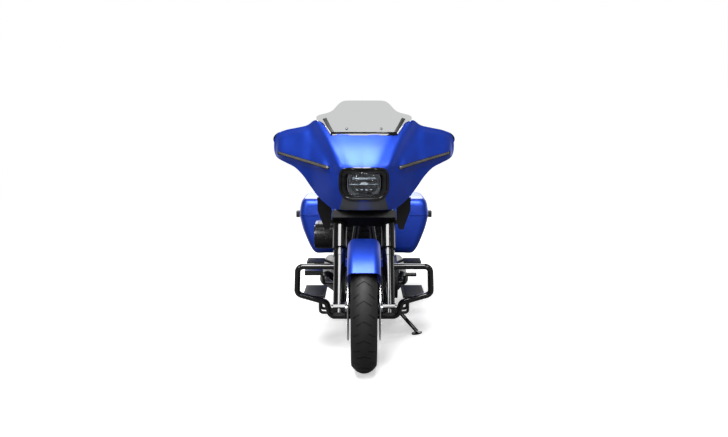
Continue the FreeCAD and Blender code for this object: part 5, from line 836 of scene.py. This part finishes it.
# air cleaner: ribs round its rim and a plain cover; covers get their screws
airBox = dict(
    y=-92, z=601, half=56, ribRound=76, ribs=9, firstRib=180, ribPitch=9.4,
    ribWidth=4, ribEdge=1.2, coverRound=58, coverX=(-272, -279), rim=9, slope=3,
    dip=2.5, coverEdge=1.5, screwX=-276, screw=(6, 5))
screwRings = dict(
    derbyScrew=dict(x=205.5, centre=(154, 330), round=64, count=5, start=18,
        out=1, size=(5.5, 4)),
    camScrew=dict(x=-116, centre=(-60, 330), round=83, count=10, start=0,
        out=-1, size=(4.5, 4)))


def airLoop(radius, steps=14):  # the air cleaner's outline: long, and round at both ends
    return [around((airBox["y"] + end * airBox["half"], airBox["z"]), radius, math.pi * (i / steps - end / 2))
            for end in (-1, 1) for i in range(steps + 1)]


ribs = []
for i in range(airBox["ribs"]):
    x = -(airBox["firstRib"] + i * airBox["ribPitch"])
    rib = plateAlongX("airRib" + str(i), airLoop(airBox["ribRound"]), x, x - airBox["ribWidth"])
    ribs.append(bevelled(rib, airBox["ribEdge"]))
finishPiece(joined(ribs), "engine_black", "chassis")
cover = plateAlongX("airCover", airLoop(airBox["coverRound"]), *airBox["coverX"])
editFaces(cover, lambda c, n: n.x < -facing)
bpy.ops.mesh.inset(thickness=airBox["rim"])
bpy.ops.mesh.inset(thickness=airBox["slope"], depth=-airBox["dip"])
leaveEdit()
finishPiece(bevelled(cover, airBox["coverEdge"], 3), "gloss_plastic", "chassis")
fixings = []
for name, ring in screwRings.items():
    for i in range(ring["count"]):
        spot = around(ring["centre"], ring["round"], math.radians(360 * i / ring["count"] + ring["start"]))
        fixings.append(screw(name + str(i), (ring["x"], *spot), (ring["out"], 0, 0), *ring["size"]))
for i in (-1, 0, 1):
    at = (airBox["screwX"], airBox["y"] + i * airBox["half"], airBox["z"])
    fixings.append(screw("airScrew" + str(i), at, (-1, 0, 0), *airBox["screw"]))
finishPiece(joined(fixings), "machined", "chassis")
print("engine covers dressed")

# footboards: moulded ribs on top of each board; filler cap and axle spacers
boards = dict(
    front=dict(x=(214, 336), y=(-330, 0), top=292, ribs=9),
    rear=dict(x=(240, 344), y=(170, 320), top=404, ribs=5))
pads = dict(sides=14, ends=20, near=0.2, far=0.8, sink=1, stand=3, edge=1.5)
filler = dict(at=(0, -229, 911), size=(30, 7), edge=1.2)
spacer = dict(x=83.5, size=(17, 9))
for place, board in boards.items():
    lowX, highX = board["x"][0] + pads["sides"], board["x"][1] - pads["sides"]
    pitch = (board["y"][1] - board["y"][0] - 2 * pads["ends"]) / board["ribs"]
    ribs = []
    for side in (1, -1):
        for i in range(board["ribs"]):
            start = board["y"][0] + pads["ends"] + pitch * i
            ribs.append(softBox(place + "Rib" + str(side * (i + 1)), side, (0, start, board["top"]),
                                (lowX, pitch * pads["near"], -pads["sink"]),
                                (highX, pitch * pads["far"], pads["stand"]), pads["edge"]))
    finishPiece(joined(ribs), "rubber", "chassis")
fillerCap = screw("fillerCap", filler["at"], (0, 0, 1), *filler["size"])
finishPiece(bevelled(fillerCap, filler["edge"]), "gloss_plastic", "chassis")
spacers = []
for side in (1, -1):
    at = (side * spacer["x"], *axles["front"])
    spacers.append(screw("axleSpacer" + str(side), at, (side, 0, 0), *spacer["size"]))
finishPiece(joined(spacers), "machined", "steering")
print("boards ribbed")

# tyres: the tread sheet is cut flat, then bent round and closed on its beads
tyres = dict(
    front=dict(radius=319.2, crown=66, tread=55, half=63, rim=253.6, bead=50, facing=-1),
    rear=dict(radius=327.2, crown=105, tread=80, half=89, rim=241.6, bead=75, facing=1),
)
treadCut = dict(
    repeats=21, rows=(0.0, 0.052, 0.2, 0.35, 0.5, 0.552, 0.7, 0.85),
    columns=(0, 0.1, 0.2, 0.33, 0.46, 0.58, 0.7, 0.8, 0.92, 1.0), slant=0.62, depth=4.5,
    centre=0.58, centreCut=0.05, side=(0.33, 0.92), sideCut=(0.5, 0.552))
wallForm = dict(
    bulge=((1.2, 0.78), (0, 0.6), (1, 0.42), (4.5, 0.2), (5, 0.12)),  # mm in, and share of the rise
    bead=((1, 1), (-7, -2), (-12, 4)), liner=(12, 0.5), tread=(0.75, 4), crown=13)
for place, tyre in tyres.items():
    arc = math.asin(tyre["tread"] / tyre["crown"])
    reach = tyre["crown"] * arc
    middle = tyre["radius"] - tyre["crown"]
    shoulder = middle + tyre["crown"] * math.cos(arc)
    rise = shoulder - tyre["rim"]
    wall = [(tyre["half"] - inward, tyre["rim"] + rise * share) for inward, share in wallForm["bulge"]]
    wall += [(tyre["bead"] + outward, tyre["rim"] + up) for outward, up in wallForm["bead"]]
    wall += [(tyre["half"] - wallForm["liner"][0], tyre["rim"] + rise * wallForm["liner"][1]),
             (tyre["tread"] * wallForm["tread"][0], shoulder - wallForm["tread"][1]),
             (0, tyre["radius"] - wallForm["crown"])]
    right = [("arc", share) for share in treadCut["columns"]] + [("at", point) for point in wall]
    left = [("arc", -share) for share in treadCut["columns"][1:]] + [("at", (-x, r)) for x, r in wall[:-1]]
    loop = left[::-1] + right  # from inside the left bead over the tread to the crown's inner face
    loop.append(loop[0])
    pitch = 2 * math.pi * tyre["radius"] / treadCut["repeats"]
    rows = [(i + share) * pitch for i in range(treadCut["repeats"]) for share in treadCut["rows"]]
    rows.append(treadCut["repeats"] * pitch)
    shares = [value if kind == "arc" else None for kind, value in loop]

    def flatAt(column, row):
        share = 1 if shares[column] is None else abs(shares[column])
        return (column, rows[row] - treadCut["slant"] * share * reach, 0)

    def inGroove(centre, normal):
        column = int(centre.x)
        if shares[column] is None or shares[column + 1] is None:
            return False
        away = abs(shares[column] + shares[column + 1]) / 2
        along = (centre.y + treadCut["slant"] * away * reach) / pitch % 1
        (sideFrom, sideTo), (near, far) = treadCut["sideCut"], treadCut["side"]
        central = along < treadCut["centreCut"] and away < treadCut["centre"]
        return central or (sideFrom < along < sideTo and near < away < far)

    rubber = sheetOf(place + "TyreTread", len(loop) - 1, len(rows) - 1, flatAt)
    editFaces(rubber, inGroove)
    bpy.ops.mesh.extrude_region_move(TRANSFORM_OT_translate=dict(value=(0, 0, -treadCut["depth"])))
    leaveEdit()
    axleY, axleZ = axles[place]
    for vertex in rubber.data.vertices:
        kind, value = loop[int(round(vertex.co.x))]
        turn = vertex.co.y / pitch / treadCut["repeats"] * 2 * math.pi
        if kind == "arc":
            x = (tyre["crown"] + vertex.co.z) * math.sin(value * arc)
            r = middle + (tyre["crown"] + vertex.co.z) * math.cos(value * arc)
        else:
            x, r = value
        vertex.co = (x, axleY + tyre["facing"] * r * math.cos(turn), axleZ + r * math.sin(turn))
    evenNormals(rubber, weld)
    finishPiece(rubber, "tyre_rubber", place + "_wheel", (place + "_tyre",), smooth=38, recalc=False)
    print(place, "tyre:", len(rubber.data.polygons))

# seat: one padded saddle and pillion, blown up a little inside its cover
cushion = dict(
    weld=0.05, shrink=5, voxel=6, pressure=4.0, frames=20, quality=5, cap=9,
    smoothing=0.5, passes=6)
clearSelection()
padding = nodes["seat"].copy()
padding.data = nodes["seat"].data.copy()
padding.name = "seatPadding"
bpy.context.collection.objects.link(padding)
padding.parent = None
padding.matrix_world = Matrix()
padding.data.transform(toUpright)
editFaces(padding, everything)
bpy.ops.mesh.remove_doubles(threshold=cushion["weld"])
leaveEdit()
smaller = padding.modifiers.new("smaller", "DISPLACE")
smaller.strength = -cushion["shrink"]
smaller.mid_level = 0
bpy.ops.object.modifier_apply(modifier="smaller")
evened = padding.modifiers.new("evened", "REMESH")
evened.mode = "VOXEL"
evened.voxel_size = cushion["voxel"]
bpy.ops.object.modifier_apply(modifier="evened")
padding.data.transform(Matrix.Scale(mm, 4))
before = [vertex.co.copy() for vertex in padding.data.vertices]
cover = padding.modifiers.new("cover", "CLOTH")
cover.settings.use_pressure = True
cover.settings.uniform_pressure_force = cushion["pressure"]
cover.settings.effector_weights.gravity = 0
cover.settings.quality = cushion["quality"]
scene = bpy.context.scene
for step in range(1, cushion["frames"] + 1):
    scene.frame_set(step)
bpy.ops.object.modifier_apply(modifier="cover")
scene.frame_set(1)
for vertex, start in zip(padding.data.vertices, before):
    moved = vertex.co - start
    if moved.length > cushion["cap"] * mm:
        vertex.co = start + moved.normalized() * cushion["cap"] * mm
padding.data.transform(Matrix.Scale(1 / mm, 4))
softened(padding, cushion["smoothing"], cushion["passes"])
finishPiece(padding, "seat_cover", "chassis", ("seat",), smooth=60)
print("seat padded:", len(padding.data.vertices))

# studio floor: pale to the eye, dull to the machine, and in gloss white only behind the machine
# floorGlow is painted light on the floor: lower round the machine, white far off
studio = dict(
    floorHalf=40, floorTone=(0.1, 0.86), middle=(0.8, 4.0), floorGlow=(0.46, 0.97),
    floorBehind=(0.8, 3.0), floorGloss=(0.1, 1.0), wallHeights=(0.22, 0.5),
    wallTone=(0.2, 0.1), wallBehind=(0.35, 0.85), fill=0.08)
bpy.ops.mesh.primitive_plane_add(size=2 * studio["floorHalf"], location=(0, 0, 0))
floor = bpy.context.object
floor.name = "studioFloor"
floorPaint, floorShader, floorPlace = startMaterial(  # an even, shadow-catching pale ground
    "matt white paint", "#F0F0F0", {"Roughness": 0.9, "Specular IOR Level": 0.1})


def mixed(material, operation, first, second):
    return addNode(material, "Math", dict(operation=operation), {0: first, 1: second}).outputs[0]


link = floorPaint.node_tree.links.new
rays = addNode(floorPaint, "LightPath").outputs
sheen = addNode(floorPaint, "Emission", dict(Color=(1, 1, 1, 1)))
link(ranged(floorPaint, rays["Is Camera Ray"], (0, 1), studio["floorTone"]), floorShader.inputs["Base Color"])
reach = addNode(floorPaint, "VectorMath", dict(operation="LENGTH"), {0: floorPlace}).outputs["Value"]
paintedGlow = ranged(floorPaint, reach, studio["middle"], studio["floorGlow"])  # painted glow: lifts the far floor to white and stays lower round the machine, which darkens the floor where the machine's shadow falls
floorParts = addNode(floorPaint, "SeparateXYZ", {}, {0: floorPlace})
behind = ranged(floorPaint, floorParts.outputs["Y"], studio["floorBehind"], studio["floorGloss"])
glossy = mixed(floorPaint, "MULTIPLY", rays["Is Glossy Ray"], behind)
direct = mixed(floorPaint, "MAXIMUM", rays["Is Camera Ray"], rays["Is Transmission Ray"])
seen = mixed(floorPaint, "MAXIMUM", direct, glossy)
link(mixed(floorPaint, "MULTIPLY", seen, paintedGlow), sheen.inputs["Strength"])
both = addNode(floorPaint, "AddShader", {}, {0: floorShader.outputs[0], 1: sheen.outputs[0]})
link(both.outputs[0], floorPaint.node_tree.nodes["Material Output"].inputs["Surface"])
floor.data.materials.append(floorPaint)

# world: white to the eye, and to gloss a grey room in front with the white backdrop behind the machine
world = bpy.data.worlds.new("studio")
bpy.context.scene.world = world
world.use_nodes = True
backdrop = world.node_tree.nodes["Background"]
rays = addNode(world, "LightPath").outputs
ways = addNode(world, "TexCoord")
heights = addNode(world, "SeparateXYZ", {}, {0: ways.outputs["Generated"]})
room = ranged(world, heights.outputs["Z"], studio["wallHeights"], studio["wallTone"])
white = ranged(world, heights.outputs["Y"], studio["wallBehind"], (0, 1))
mirrored = mixed(world, "MULTIPLY", rays["Is Glossy Ray"], mixed(world, "MAXIMUM", white, room))
fill = ranged(world, rays["Is Diffuse Ray"], (0, 1), (0, studio["fill"]))
lit = mixed(world, "ADD", mirrored, fill)
direct = mixed(world, "MAXIMUM", rays["Is Camera Ray"], rays["Is Transmission Ray"])
backdrop.inputs["Color"].default_value = (1, 1, 1, 1)
world.node_tree.links.new(mixed(world, "MAXIMUM", direct, lit), backdrop.inputs["Strength"])

lamps = dict(
    overhead=dict(at=(0, -2.6, 4.4), aim=(0, -0.5, 0.6), size=3.0, power=360),
    frontLeft=dict(at=(-3.6, -4.2, 3.2), aim=(0, -0.4, 0.7), size=1.6, power=60),
    frontRight=dict(at=(3.6, -4.2, 3.2), aim=(0, -0.4, 0.7), size=1.6, power=60),
    frontHigh=dict(at=(0, -5.6, 4.4), aim=(0, -0.8, 0.5), size=1.6, power=110),
    stripeLeft=dict(at=(-1.5, -6.0, 1.5), aim=(0, -0.5, 0.6), size=0.1, tall=2.8, power=20),
    stripeRight=dict(at=(1.7, -6.0, 1.5), aim=(0, -0.5, 0.6), size=0.1, tall=2.8, power=20),
    behind=dict(at=(0, 4.5, 3.0), aim=(0, 0.5, 0.6), size=2.5, power=80),
)
for name, lamp in lamps.items():
    bpy.ops.object.light_add(type="AREA", location=lamp["at"])
    made = bpy.context.object
    made.name = name
    made.data.energy = lamp["power"]
    made.data.size = lamp["size"]
    if "tall" in lamp:
        made.data.shape = "RECTANGLE"
        made.data.size_y = lamp["tall"]
    made.rotation_euler = (Vector(lamp["aim"]) - Vector(lamp["at"])).to_track_quat("-Z", "Y").to_euler()

view = dict(distance=5.3125, height=1.25, pitch=6.1, lens=45.57, sensor=36)  # rolled with the lean
bpy.ops.object.camera_add()
camera = bpy.context.object
camera.data.sensor_width = view["sensor"]
camera.data.lens = view["lens"]
camera.matrix_world = (leaned @ Matrix.Translation((0, -view["distance"], view["height"]))
                       @ Matrix.Rotation(math.radians(90 - view["pitch"]), 4, "X"))
bpy.context.scene.camera = camera
bpy.context.scene.view_settings.view_transform = "Standard"
print("studio set")
